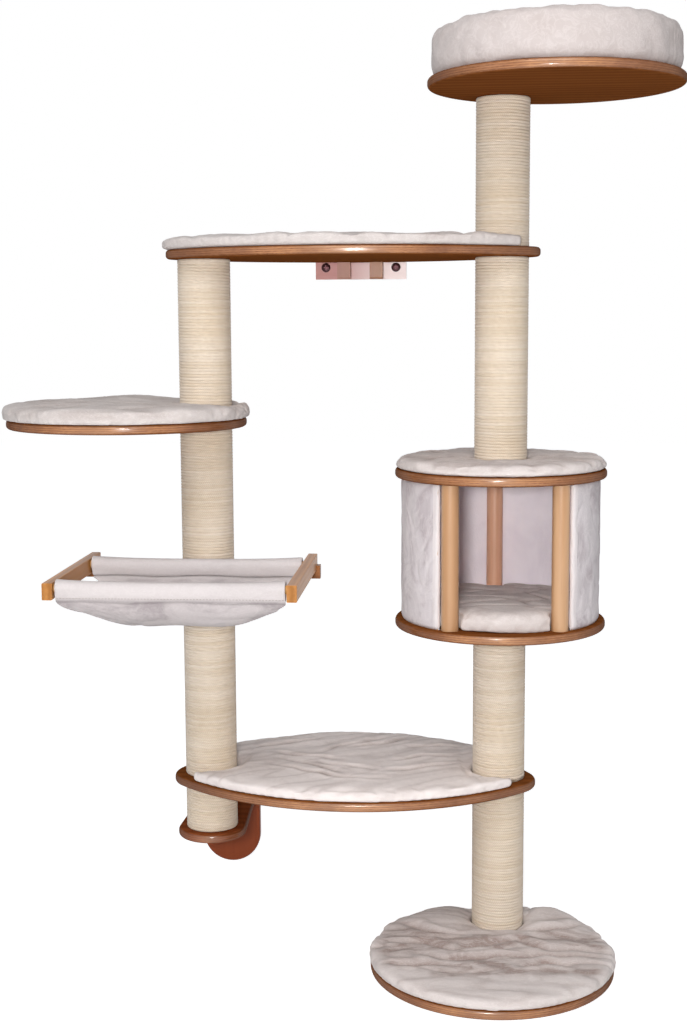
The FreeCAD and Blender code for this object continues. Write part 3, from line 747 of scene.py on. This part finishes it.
def drawn_folds(flat, lines, width):
    """How deep each point lies in the drawn creases, and how high on the lips beside them."""
    groove, lip = np.zeros(len(flat)), np.zeros(len(flat))
    for line in lines:
        spots = np.array(line)
        sides = np.linalg.norm(np.diff(spots, axis=0), axis=1)
        nearest, share, passed = np.full(len(flat), 1.0), np.zeros(len(flat)), 0.0
        for start, end, side in zip(spots, spots[1:], sides):
            way = (end - start) / side
            along = np.clip((flat - start) @ way, 0, side)
            away = np.linalg.norm(flat - start - along[:, None] * way, axis=1)
            closer = away < nearest
            nearest[closer] = away[closer]
            share[closer] = (passed + along[closer]) / sides.sum()
            passed += side
        fade = np.sin(math.pi * np.clip(share, 0.03, 0.97)) ** 0.6
        groove = np.maximum(groove, fade * np.exp(-(nearest / width) ** 2))
        lip = np.maximum(lip, fade * np.exp(-((nearest - 2.3 * width) / (1.3 * width)) ** 2))
    return groove, lip


def mark(piece, **values):
    """Keeps a number for each point of a piece for its material to read."""
    for label, numbers in values.items():
        layer = piece.data.attributes.new(label, "FLOAT", "POINT")
        layer.data.foreach_set("value", np.clip(numbers, 0, 1).astype(np.float32))


def plush_mat(node, body, material, folds=(), centre=(0.0, 0.0), fold_depth=0.006, fold_width=0.009,
              humps=(), rubbed=None, overhang=0.006, thin=0.003, growth=0.05, ripple_size=(0.16, 0.05, 0.1),
              ripple_turn=0.0, ripple=0.0025, swell=0.004, seed=1.0):
    """A mat in place of its plain solid: puffed, creased on top and hanging over the rim."""
    low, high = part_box(node)
    middle = (low + high) / 2
    half = np.array([(high.x - low.x) / 2, (high.y - low.y) / 2])

    def rim_share(points):
        return np.clip(np.linalg.norm((points[:, :2] - np.array(middle[:2])) / half, axis=1), 0, 1)

    def spread(points):
        grown_points = points.copy()
        away = points[:, :2] - np.array(middle[:2])
        away /= np.linalg.norm(away, axis=1)[:, None] + 1e-9
        grown_points[:, :2] += away * (rim_share(points) ** 8 * overhang)[:, None]
        top = np.clip((points[:, 2] - low.z) / (high.z - low.z), 0, 1)
        grown_points[:, 2] -= top * thin
        return grown_points

    mat = even_copy(node, "plush_" + node, MAT_VOXEL, spread)
    puff(mat, low.z + 0.004, 3.0, growth, 0.007)
    smooth_faces(mat)
    points = get_points(mat)
    top = np.clip((points[:, 2] - low.z - 0.008) / 0.010, 0, 1)
    waver = np.stack([lumps(points, (0.05, 0.05, 1), seed + more) for more in (11, 12)], 1)
    flat = points[:, :2] - np.array(centre) + 0.012 * waver
    groove, lip = drawn_folds(flat, folds, fold_width)
    across = turned(points, ripple_turn)
    fine = creases(across, ripple_size, seed, 0.12)
    # Painted shade on the mat's top, partly real rubbed pile on the base mat; the same share also deepens the
    # fine creases.
    darkened = np.full(len(points), 0.35) if rubbed is None else rubbed(flat)
    height = fold_depth * (0.6 * lip - groove) - ripple * fine * (0.25 + 0.75 * darkened)
    height += swell * lumps(across, tuple(0.7 * side for side in ripple_size), seed + 5)
    height += 0.0007 * lumps(points, (0.011, 0.011, 0.011), seed + 7)
    for x, y, rise, reach in humps:
        gap = np.linalg.norm(points[:, :2] - np.array(centre) - (x, y), axis=1)
        height += rise * np.exp(-(gap / reach) ** 2)
    raised(mat, height * (0.15 + 0.85 * top), low.z)
    # The painted shade fades out towards the rim, which stays paler, and the crease attribute is painted
    # shade in the creases.
    edge = np.clip((1.0 - rim_share(points)) / 0.09, 0, 1)
    mark(mat, rubbed=darkened * top * edge, folded=top * np.maximum(groove, 0.35 * fine))
    dress(mat, material, node, body)


def soft_step(values, start, end):
    share = np.clip((values - start) / (end - start), 0, 1)
    return share * share * (3 - 2 * share)


# Creases in the base mat, measured from the right post, and a darker patch
# between the post and a ragged line near the front: partly real brushed pile,
# partly painted shade, with the front band left paler.
BASE_FOLDS = (
    ((-0.236, -0.044), (-0.188, -0.072), (-0.148, -0.109), (-0.076, -0.113)),
    ((-0.274, -0.194), (-0.253, -0.164), (-0.159, -0.158), (-0.109, -0.192), (-0.045, -0.161),
     (0.050, -0.134), (0.096, -0.187), (0.179, -0.177), (0.238, -0.178)),
    ((-0.183, -0.216), (-0.127, -0.250), (-0.068, -0.246), (0.028, -0.221), (0.139, -0.217), (0.235, -0.216)),
    ((0.055, -0.077), (0.133, -0.066), (0.189, -0.026)),
    ((-0.247, -0.284), (-0.174, -0.272), (-0.110, -0.283)),
    ((0.049, -0.281), (0.093, -0.256), (0.150, -0.262)))


def ragged_line(flat, size, seed):
    """A wavering that changes along x only."""
    return lumps(np.column_stack([flat, np.zeros(len(flat))]), (size, 10, 1), seed)


def base_rubbed(flat):
    ragged = -0.355 + 0.035 * ragged_line(flat, 0.07, 61) + 0.015 * ragged_line(flat, 0.018, 62)
    behind = soft_step(flat[:, 1], ragged, ragged + 0.05)
    return behind * (1 - 0.75 * soft_step(flat[:, 1], -0.15, -0.03))


# Creases in the lower shelf's mat, measured from its middle: they fan out
# towards the front, and a band along the front edge stays smooth and paler,
# with painted shade behind it.
SHELF_FOLDS = (
    ((-0.244, 0.012), (-0.165, 0.049), (-0.097, 0.086)),
    ((-0.087, -0.021), (-0.022, 0.047), (0.057, 0.107)),
    ((-0.172, -0.089), (-0.073, -0.150), (-0.010, -0.215)),
    ((-0.121, -0.116), (-0.042, -0.130), (0.051, -0.164)),
    ((0.086, -0.093), (0.158, -0.047), (0.238, -0.042)),
    ((0.073, -0.172), (0.150, -0.148), (0.239, -0.103)),
    ((-0.199, -0.130), (-0.114, -0.180), (-0.030, -0.225), (0.079, -0.238)),
    ((-0.020, 0.010), (0.060, 0.060), (0.130, 0.120)),
    ((-0.200, -0.040), (-0.110, -0.070), (-0.030, -0.090)),
    ((0.120, 0.030), (0.190, 0.045), (0.250, 0.040)))


def shelf_rubbed(flat):
    front = 0.13 * (flat[:, 0] / 0.37) ** 2 - 0.245
    ragged = front + 0.02 * ragged_line(flat, 0.06, 63)
    return 0.15 * soft_step(flat[:, 1], ragged, ragged + 0.07)


rubbed_plush = plush("rubbed plush", stretch=(1, 3.2, 2), patch=7.0, brushed=0.8, marked=True)
# A lighter copy of the cream plush for the lower shelf's mat: painted light that makes up for the shade under
# the upper shelf.
streaked_plush = plush("streaked plush", colour(244, 234, 230), stretch=(1.2, 3.4, 2), turn=0.6, patch=9.0,
                       brushed=0.45, marked=True)
pale_plush = plush("pale plush", stretch=(1, 2, 2), patch=8.0, brushed=0.5, marked=True)
# A darker copy of the cream plush for the upper and left shelf mats: painted shade.
shaded_plush = plush("shaded plush", colour(210, 201, 197), colour(158, 141, 134), stretch=(1, 2, 2),
                   patch=8.0, brushed=0.5, marked=True)
post_foot = (posts["r"].x, posts["r"].y)
plush_mat("base_mat", "frame", rubbed_plush, BASE_FOLDS, post_foot, fold_depth=0.009, fold_width=0.010,
          humps=((0.111, 0.030, 0.015, 0.06), (-0.120, -0.020, 0.008, 0.07)), rubbed=base_rubbed,
          overhang=0.010, ripple_size=(0.20, 0.05, 0.1), ripple=0.003, swell=0.004, seed=1)
plush_mat("lower_shelf_mat", "frame", streaked_plush, SHELF_FOLDS, (0.0, -0.2), fold_depth=0.0045,
          fold_width=0.008, rubbed=shelf_rubbed, overhang=0.004, ripple_size=(0.22, 0.05, 0.1),
          ripple_turn=0.6, ripple=0.002, swell=0.003, seed=2)
plush_mat("upper_shelf_mat", "frame", shaded_plush, overhang=0.014, ripple_size=(0.2, 0.08, 0.1), swell=0.006,
          humps=((-0.28, -0.28, 0.008, 0.05), (-0.13, -0.2, 0.006, 0.05)), seed=3)
plush_mat("left_shelf_mat", "left_shelf", shaded_plush, centre=(-0.508, -0.354),
          humps=((-0.12, -0.02, 0.007, 0.13), (-0.02, 0.14, 0.008, 0.07)), overhang=0.015, thin=-0.002,
          ripple_size=(0.2, 0.06, 0.1), swell=0.006, seed=4)
# Its top is darkened by painted shade, paler towards the rim.
plush_mat("den_roof_mat", "frame", pale_plush, ripple_size=(0.12, 0.06, 0.1), ripple=0.004,
          rubbed=lambda flat: np.full(len(flat), 0.75), seed=5)


# ---- den ----
# A bent ply shell covered inside and out with crushed plush, held between the
# two round boards, with a wadded cushion on the floor. The inside is smoother,
# and its lining is painted near white: painted light for the shade inside the den.
DEN_OUT_R = 0.224
DEN_IN_R = 0.210
DEN_FACING = math.radians(2.8)      # the doorway points a little to the right
DEN_DOOR_HALF = math.radians(40.75)
DEN_HEM = 0.016
den_plush = plush("crushed plush", colour(214, 206, 208), colour(178, 166, 170), stretch=(1, 1, 0.7),
                  patch=13.0, crush=20.0, brushed=0.75, glint_weight=0.2)
den_hem = plush("den hem", colour(226, 218, 218), colour(206, 196, 196), patch=6.0, brushed=0.3, glint_weight=0.05)
# The smoother lining is lilac grey; its near-white colour is painted light that makes up for the shade inside
# the den.
den_lining = plush("den lining", colour(248, 240, 246), colour(228, 218, 228), stretch=(1, 1, 0.5),
                   patch=6.0, crush=14.0, brushed=0.5, glint_weight=0.1)


DEN_WALL_HALF = (DEN_OUT_R - DEN_IN_R) / 2
DEN_WALL_R = DEN_IN_R + DEN_WALL_HALF
DEN_EDGE_TURN = DEN_WALL_HALF / DEN_WALL_R
DEN_AROUND = 300         # faces along the wall, up it, and round each rolled edge
DEN_TALL = 84
DEN_BEND = 9


def wall_plan():
    """The wall's outline seen from above, as radius and angle: outside, edge, inside, edge."""
    run = 2 * math.pi - 2 * DEN_DOOR_HALF - 2 * DEN_EDGE_TURN
    along = np.linspace(0, run, DEN_AROUND + 1)
    bend = np.linspace(0, math.pi, DEN_BEND + 1)[1:-1]
    radius = np.concatenate([np.full(len(along), DEN_WALL_R + DEN_WALL_HALF),
                             DEN_WALL_R + DEN_WALL_HALF * np.cos(bend),
                             np.full(len(along), DEN_WALL_R - DEN_WALL_HALF),
                             DEN_WALL_R - DEN_WALL_HALF * np.cos(bend)])
    angle = np.concatenate([along, run + DEN_EDGE_TURN * np.sin(bend),
                            along[::-1], -DEN_EDGE_TURN * np.sin(bend)])
    return radius, angle + DEN_FACING + DEN_DOOR_HALF + DEN_EDGE_TURN - math.pi / 2


def wall_faces(count):
    """Faces between the outlines stacked up the wall, and the caps at its foot and top."""
    faces = []
    for row in range(0, (DEN_TALL - 1) * count, count):
        for i in range(count):
            k = (i + 1) % count
            faces.append((row + i, row + k, row + count + k, row + count + i))
    inside = 2 * DEN_AROUND + DEN_BEND
    for j in (0, DEN_TALL - 1):
        row = j * count
        caps = [(i, inside - i, inside - i - 1, i + 1) for i in range(DEN_AROUND)]
        rolled = [list(range(DEN_AROUND, DEN_AROUND + DEN_BEND + 1)),
                  list(range(inside, inside + DEN_BEND)) + [0]]
        caps += [end[::-1] for end in rolled]
        for cap in caps:
            cap = tuple(row + i for i in cap)
            faces.append(cap if j == 0 else cap[::-1])
    return faces


def wall_cover():
    """The covered wall: a C on plan, as thick as shell and plush, with rolled doorway edges."""
    low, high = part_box("den_wall_cover")
    middle = posts["r"]
    radius, angle = wall_plan()
    level = np.linspace(0, 1, DEN_TALL)
    grid_r, grid_v = np.meshgrid(radius, level)
    grid_a, _ = np.meshgrid(angle, level)
    from_board = np.minimum(grid_v, 1 - grid_v) * (high.z - low.z)
    pinch = 0.0035 * np.exp(-from_board / 0.004)
    grid_r = grid_r - np.sign(grid_r - DEN_WALL_R) * pinch
    points = np.stack([middle.x + grid_r * np.cos(grid_a), middle.y + grid_r * np.sin(grid_a),
                       low.z + 0.0002 + grid_v * (high.z - low.z - 0.0004)], 2).reshape(-1, 3)
    cover = new_piece("den_wall_plush", points.tolist(), faces=wall_faces(len(radius)))
    mesh = cover.data
    mesh.validate()
    work = bmesh.new()
    work.from_mesh(mesh)
    bmesh.ops.recalc_face_normals(work, faces=work.faces)
    work.to_mesh(mesh)
    work.free()
    smooth_faces(cover, 0)
    points = get_points(cover)
    from_board = np.minimum(points[:, 2] - low.z, high.z - points[:, 2])
    free = 1 - np.exp(-from_board / 0.010)
    outside = np.hypot(points[:, 0] - middle.x, points[:, 1] - middle.y) > DEN_WALL_R
    height = 0.0016 * lumps(points, (0.03, 0.03, 0.045), 41)
    height -= 0.0014 * creases(points, (0.05, 0.05, 0.07), 42)
    raised(cover, height * free * np.where(outside, 1.0, 0.45))
    dress(cover, den_plush, "den_wall_cover", "frame")
    mesh.materials.append(den_lining)
    mesh.materials.append(den_hem)
    for face in mesh.polygons:
        spot = face.center
        away = math.hypot(spot.x - middle.x, spot.y - middle.y)
        turn = math.atan2(spot.y - middle.y, spot.x - middle.x) + math.pi / 2 - DEN_FACING
        hem = abs(turn) < DEN_DOOR_HALF + DEN_HEM / DEN_OUT_R
        face.material_index = 1 if away < DEN_WALL_R - 0.3 * DEN_WALL_HALF else 2 if hem else 0


def floor_cushion():
    low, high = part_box("den_cushion")
    cushion = even_copy("den_cushion", "den_floor_cushion", MAT_VOXEL)
    puff(cushion, low.z + 0.004, 3.0, 0.05, 0.006)
    smooth_faces(cushion)
    points = get_points(cushion)
    fine = creases(points, (0.12, 0.07, 0.2), 11)
    raised(cushion, 0.003 * lumps(points, (0.09, 0.06, 0.1), 12) - 0.004 * fine, low.z)
    top = np.clip((points[:, 2] - high.z + 0.016) / 0.008, 0, 1)
    # Painted shade on the cushion's top and in its creases.
    mark(cushion, rubbed=0.45 * top, folded=0.4 * top * fine)
    dress(cushion, pale_plush, "den_cushion", "frame")


wall_cover()
floor_cushion()


# ---- top bed ----
# A wadded plush ring, gathered on its inner side, round a flat pad.
RING_SQUARE_OUT = 0.42       # 1 is a round section, less is squarer
RING_SQUARE_UP = 0.55
RING_AROUND = 260
RING_SECTION = 56


def bed_ring():
    low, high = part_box("bed_bolster")
    middle = (low + high) / 2
    tube = (high.z - low.z) / 2
    ring = (high.x - low.x) / 2 - tube
    a = np.repeat(np.arange(RING_AROUND) * 2 * math.pi / RING_AROUND, RING_SECTION)
    b = np.tile(np.arange(RING_SECTION) * 2 * math.pi / RING_SECTION, RING_AROUND)
    out = np.sign(np.cos(b)) * np.abs(np.cos(b)) ** RING_SQUARE_OUT
    up = np.sign(np.sin(b)) * np.abs(np.sin(b)) ** RING_SQUARE_UP
    radius = ring + (tube - 0.004) * out
    points = np.stack([middle.x + radius * np.cos(a), middle.y + radius * np.sin(a),
                       middle.z - 0.0027 + (tube - 0.003) * up], 1)
    faces = []
    for i in range(RING_AROUND):
        here, there = i * RING_SECTION, (i + 1) % RING_AROUND * RING_SECTION
        for j in range(RING_SECTION):
            k = (j + 1) % RING_SECTION
            faces.append((here + j, there + j, there + k, here + k))
    piece = new_piece("bed_ring", points.tolist(), faces=faces)
    puff(piece, low.z + 0.002, 2.0, 0.06, 0.006)
    smooth_faces(piece)
    points = get_points(piece)
    flat = points[:, :2] - np.array(middle[:2])
    away = np.linalg.norm(flat, axis=1)
    turn = flat / away[:, None]
    inner = np.clip((ring - away) / tube, -1, 1)
    height_share = np.clip((points[:, 2] - low.z) / (high.z - low.z), 0, 1)
    wound = np.stack([turn[:, 0] * 5.2, turn[:, 1] * 5.2, inner * 0.8 + height_share], 1)
    gather = np.clip(inner + 0.25, 0, 1) + 2.0 * np.clip(turn[:, 0] - 0.80, 0, 1)
    fine = creases(wound * 2.2, (1, 1, 3), 21, 0.16)
    height = 0.004 * lumps(wound, (2.2, 2.2, 0.6), 22) + 0.003 * lumps(wound, (0.7, 0.7, 0.25), 23)
    height -= 0.005 * gather * fine
    height += 0.005 * np.clip(height_share - 0.8, 0, 1) * 5 * lumps(wound, (0.45, 0.45, 2), 25)
    height += 0.0006 * lumps(points, (0.012, 0.012, 0.012), 24)
    raised(piece, height, low.z)
    # Painted shade: a little all over, more on the ring's inner side, and in its gathers.
    mark(piece, rubbed=0.25 + 0.5 * np.clip(inner, 0, 1), folded=0.5 * np.clip(gather, 0, 1) * fine)
    bed_plush = plush("bed plush", colour(204, 194, 191), patch=6.0, brushed=0.5, glint_weight=0.15, marked=True)
    dress(piece, bed_plush, "bed_bolster", "bed")


def bed_floor():
    low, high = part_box("bed_pad")
    pad = even_copy("bed_pad", "bed_floor_pad", MAT_VOXEL)
    puff(pad, low.z + 0.004, 3.0, 0.04, 0.008)
    smooth_faces(pad)
    points = get_points(pad)
    fine = creases(points, (0.12, 0.1, 0.2), 32)
    raised(pad, 0.003 * lumps(points, (0.07, 0.07, 0.1), 31) - 0.003 * fine, low.z)
    # Painted shade over the whole pad, which lies inside the ring, and in its creases.
    mark(pad, rubbed=np.full(len(points), 0.5), folded=0.6 * fine)
    dress(pad, pale_plush, "bed_pad", "bed")


bed_ring()
bed_floor()


# ---- hammock sling ----
# One piece of plush cloth, turned back and stitched round the front and the
# rear rod. Its side edges are cut hollow, so that it hangs like a boat.
SLING_HALF = 0.2345
SLING_T = 0.003
SLEEVE_R = 0.0118        # middle of the cloth round a rod
SLEEVE_DROP = 0.027      # rod axis to the seam
SLING_SAG = 0.096        # rod axis to the bottom, mid way
SLING_END_SAG = 0.056
SLING_EDGE_IN = 0.034    # how hollow a side edge is cut
SLING_COLUMNS = 150
STITCH_LONG = 0.0048
STITCH_R = 0.00055
STITCH_PITCH = 0.0066
STITCH_ROW = 18          # where a row of stitches runs, counted along the cloth from its edge


def sling_line(across):
    """The cloth's middle from the front seam to the rear seam, at a share of the half width."""
    rods_low, rods_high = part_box("hammock_rods")
    rod_z = (rods_low.z + rods_high.z) / 2
    front, rear = rods_low.y + 0.009, rods_high.y - 0.009
    side = abs(across)
    seam_z = rod_z - SLEEVE_DROP + 0.0018 * math.sin(7 * across + 1.0) * (1 - side ** 4)
    stand = SLEEVE_R + 0.005 * side ** 3
    loop = [(0.0030, seam_z + 0.002), (0.0060, seam_z + 0.010), (0.0100, rod_z - 0.012)]
    for i in range(0, 13):
        turn = i / 12 * math.pi
        loop.append((stand * math.cos(turn), rod_z + stand * math.sin(turn)))
    loop += [(-0.0132, rod_z - 0.007), (-0.0130, rod_z - 0.013), (-0.0112, rod_z - 0.019),
             (-0.0082, seam_z + 0.003), (-0.0056, seam_z - 0.0005), (-0.0030, seam_z - 0.0005),
             (-0.0020, seam_z - 0.0035)]
    sag = SLING_END_SAG + (SLING_SAG - SLING_END_SAG) * (1 - side ** 3.6) - SLEEVE_DROP - 0.0035
    start, end = front - 0.0020, rear + 0.0020
    middle, half = (start + end) / 2, (end - start) / 2
    line = [(front + y, z, 0.0) for y, z in loop]
    for i in range(1, 60):
        turn = i / 60 * math.pi
        flat = math.copysign(abs(math.cos(turn)) ** 0.8, math.cos(turn))
        dip = math.sin(turn) ** 0.8
        line.append((middle - half * flat, seam_z - 0.0035 - sag * dip, dip))
    line += [(rear - y, z, 0.0) for y, z in reversed(loop)]
    return line


def stitch_tree():
    """A row of stitches of thread along the piece's own line."""
    tree, given = growing_tree("stitching", (), Line="Geometry", Pitch="Float", Length="Float",
                               Radius="Float", Thread="Material")
    line = put_node(tree, "GeometryNodeMeshToCurve", {"Mesh": given["Line"]})
    spots = put_node(tree, "GeometryNodeCurveToPoints", {"Curve": line.outputs[0], "Length": given["Pitch"]},
                     mode="LENGTH")
    bead = put_node(tree, "GeometryNodeMeshUVSphere", {"Segments": 8, "Rings": 6, "Radius": 1.0})
    smooth = put_node(tree, "GeometryNodeSetShadeSmooth", {"Geometry": bead.outputs[0]})
    size = vector_of(tree, given["Radius"], given["Radius"], math_out(tree, "MULTIPLY", given["Length"], 0.5))
    each = put_node(tree, "GeometryNodeInstanceOnPoints",
                    {"Points": spots.outputs["Points"], "Instance": smooth.outputs[0],
                     "Rotation": spots.outputs["Rotation"], "Scale": size})
    real_output(tree, each.outputs[0], given["Thread"])
    return tree


def stitches():
    """Two rows of thread, just above the front and the rear seam."""
    out = SLING_T / 2 + 0.4 * STITCH_R
    spots, edges = [], []
    for row, way in ((STITCH_ROW, -1), (-1 - STITCH_ROW, 1)):
        for i in range(SLING_COLUMNS + 1):
            across = 1.96 * i / SLING_COLUMNS - 0.98
            y, z, _ = sling_line(across)[row]
            spots.append((SLING_HALF * across + posts["l"].x, y + way * out, z))
            if i:
                edges.append((len(spots) - 2, len(spots) - 1))
    thread = mottled("seam thread", colour(176, 164, 160), colour(150, 138, 134), (1, 1, 1), 0.7, 0.3)
    piece = grown("sling_stitches", stitch_tree(),
                  {"Pitch": STITCH_PITCH, "Length": STITCH_LONG, "Radius": STITCH_R, "Thread": thread},
                  spots, edges)
    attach(piece, "frame")
    return piece


def sling():
    middle_line = sling_line(0)
    rows = len(middle_line)
    points = []
    for i in range(SLING_COLUMNS + 1):
        across = 2 * i / SLING_COLUMNS - 1
        for y, z, dip in sling_line(across):
            points.append(((SLING_HALF - SLING_EDGE_IN * dip) * across + posts["l"].x, y, z))
    faces = [(i * rows + j, i * rows + j + 1, (i + 1) * rows + j + 1, (i + 1) * rows + j)
             for i in range(SLING_COLUMNS) for j in range(rows - 1)]
    cloth = new_piece("hammock_cloth", points, faces=faces)
    points = get_points(cloth)
    body = np.tile(np.array([dip for _, _, dip in middle_line]), SLING_COLUMNS + 1) ** 0.5
    height = 0.0035 * lumps(points, (0.10, 0.07, 0.07), 51) - 0.0028 * creases(points, (0.16, 0.06, 0.06), 52)
    raised(cloth, height * body)
    thick = cloth.modifiers.new("thickness", "SOLIDIFY")
    thick.thickness = SLING_T
    thick.offset = 0
    keep_result(cloth)
    smooth_faces(cloth)
    points = get_points(cloth)
    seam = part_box("hammock_rods")[0].z + SLEEVE_R - SLEEVE_DROP
    # Painted shade: the cloth's outer face below the seams, which faces down, is darkened, and a painted
    # shadow runs along each seam.
    outer = soft_step(get_points(cloth, "normal")[:, 2], 0.3, -0.1)
    under = outer * soft_step(points[:, 2], seam + 0.001, seam - 0.004)
    shadow = np.exp(-((points[:, 2] - seam) / 0.0035) ** 2)
    mark(cloth, rubbed=0.9 * under, folded=0.5 * shadow)
    sling_plush = plush("sling plush", colour(208, 200, 199), colour(148, 138, 140), stretch=(1, 2, 2),
                        patch=8.0, brushed=0.5, glint_weight=0.1, marked=True)
    dress(cloth, sling_plush, "hammock_sling", "frame")
    stitches()


sling()


# ---- wall screws ----
# Dark domed screws with a cross recess hold the upper bracket and the plate
# under the left post to the wall. They turn up with their shanks in the plates.
SCREW_HEAD_R = 0.0112
SCREW_HEAD_H = 0.0045
SCREW_SHANK_R = 0.0030
BRACKET_SCREWS_APART = 0.170
BRACKET_SCREWS_Z = -0.002
PLATE_SCREWS_APART = 0.080
PLATE_SCREWS_Z = -1.2755
dark_steel = mottled("dark steel", colour(84, 50, 54), colour(56, 32, 36), (1, 1, 1), 0.28, 0.1,
                     Metallic=0.8, Coat_Weight=0.3)


def shifted(tree, geometry, **changes):
    """The geometry moved, turned or scaled."""
    return put_node(tree, "GeometryNodeTransform", {"Geometry": geometry, **changes}).outputs[0]


def block_of(tree, size):
    return put_node(tree, "GeometryNodeMeshCube", {"Size": size}).outputs[0]


def screw_tree():
    """Domed screws along X from one place, heads facing the room."""
    sizes = ("Spacing", "Head radius", "Head height", "Shank radius", "Shank length")
    tree, given = growing_tree("wall screws", sizes, First="Vector", Steel="Material")
    radius, height, shank_long = given["Head radius"], given["Head height"], given["Shank length"]
    ball = put_node(tree, "GeometryNodeMeshUVSphere", {"Segments": 40, "Rings": 20, "Radius": radius})
    squash = vector_of(tree, 1.0, 1.0, math_out(tree, "DIVIDE", height, radius))
    dome = shifted(tree, ball.outputs[0], Scale=squash)
    slot_long = math_out(tree, "MULTIPLY", radius, 0.9)
    slot_wide = math_out(tree, "MULTIPLY", radius, 0.2)
    side = math_out(tree, "MULTIPLY", radius, 3.0)
    below = vector_of(tree, z=math_out(tree, "MULTIPLY", radius, -1.5))
    cutters = [shifted(tree, block_of(tree, vector_of(tree, side, side, side)), Translation=below)]
    for first, second in ((slot_long, slot_wide), (slot_wide, slot_long)):
        bar = block_of(tree, vector_of(tree, first, second, height))
        cutters.append(shifted(tree, bar, Translation=vector_of(tree, z=height)))
    cut = put_node(tree, "GeometryNodeMeshBoolean", operation="DIFFERENCE")
    tree.links.new(dome, cut.inputs[0])
    for part in cutters:
        tree.links.new(part, cut.inputs[1])
    shank = put_node(tree, "GeometryNodeMeshCylinder", {"Vertices": 20, "Radius": given["Shank radius"],
                                                        "Depth": shank_long})
    drop = vector_of(tree, z=math_out(tree, "MULTIPLY", shank_long, -0.5))
    one = put_node(tree, "GeometryNodeJoinGeometry")
    tree.links.new(cut.outputs[0], one.inputs[0])
    tree.links.new(shifted(tree, shank.outputs[0], Translation=drop), one.inputs[0])
    row = put_node(tree, "GeometryNodeMeshLine", {"Count": 2, "Start Location": given["First"],
                                                  "Offset": vector_of(tree, given["Spacing"])})
    facing = shifted(tree, one.outputs[0], Rotation=(math.pi / 2, 0, 0))
    each = put_node(tree, "GeometryNodeInstanceOnPoints", {"Points": row.outputs[0], "Instance": facing})
    real_output(tree, each.outputs[0], given["Steel"])
    return tree


wall_screws = screw_tree()
for name, plate, x, z, apart in (
        ("bracket_wall_screws", "bracket_plate", 0.0, BRACKET_SCREWS_Z, BRACKET_SCREWS_APART),
        ("plate_wall_screws", "foot_wall_plate", posts["l"].x, PLATE_SCREWS_Z, PLATE_SCREWS_APART)):
    low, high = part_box(plate)
    screws = grown(name, wall_screws,
                   {"First": (x - apart / 2, low.y, z), "Spacing": apart, "Head radius": SCREW_HEAD_R,
                    "Head height": SCREW_HEAD_H, "Shank radius": SCREW_SHANK_R,
                    "Shank length": high.y - low.y, "Steel": dark_steel})
    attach(screws, "frame")
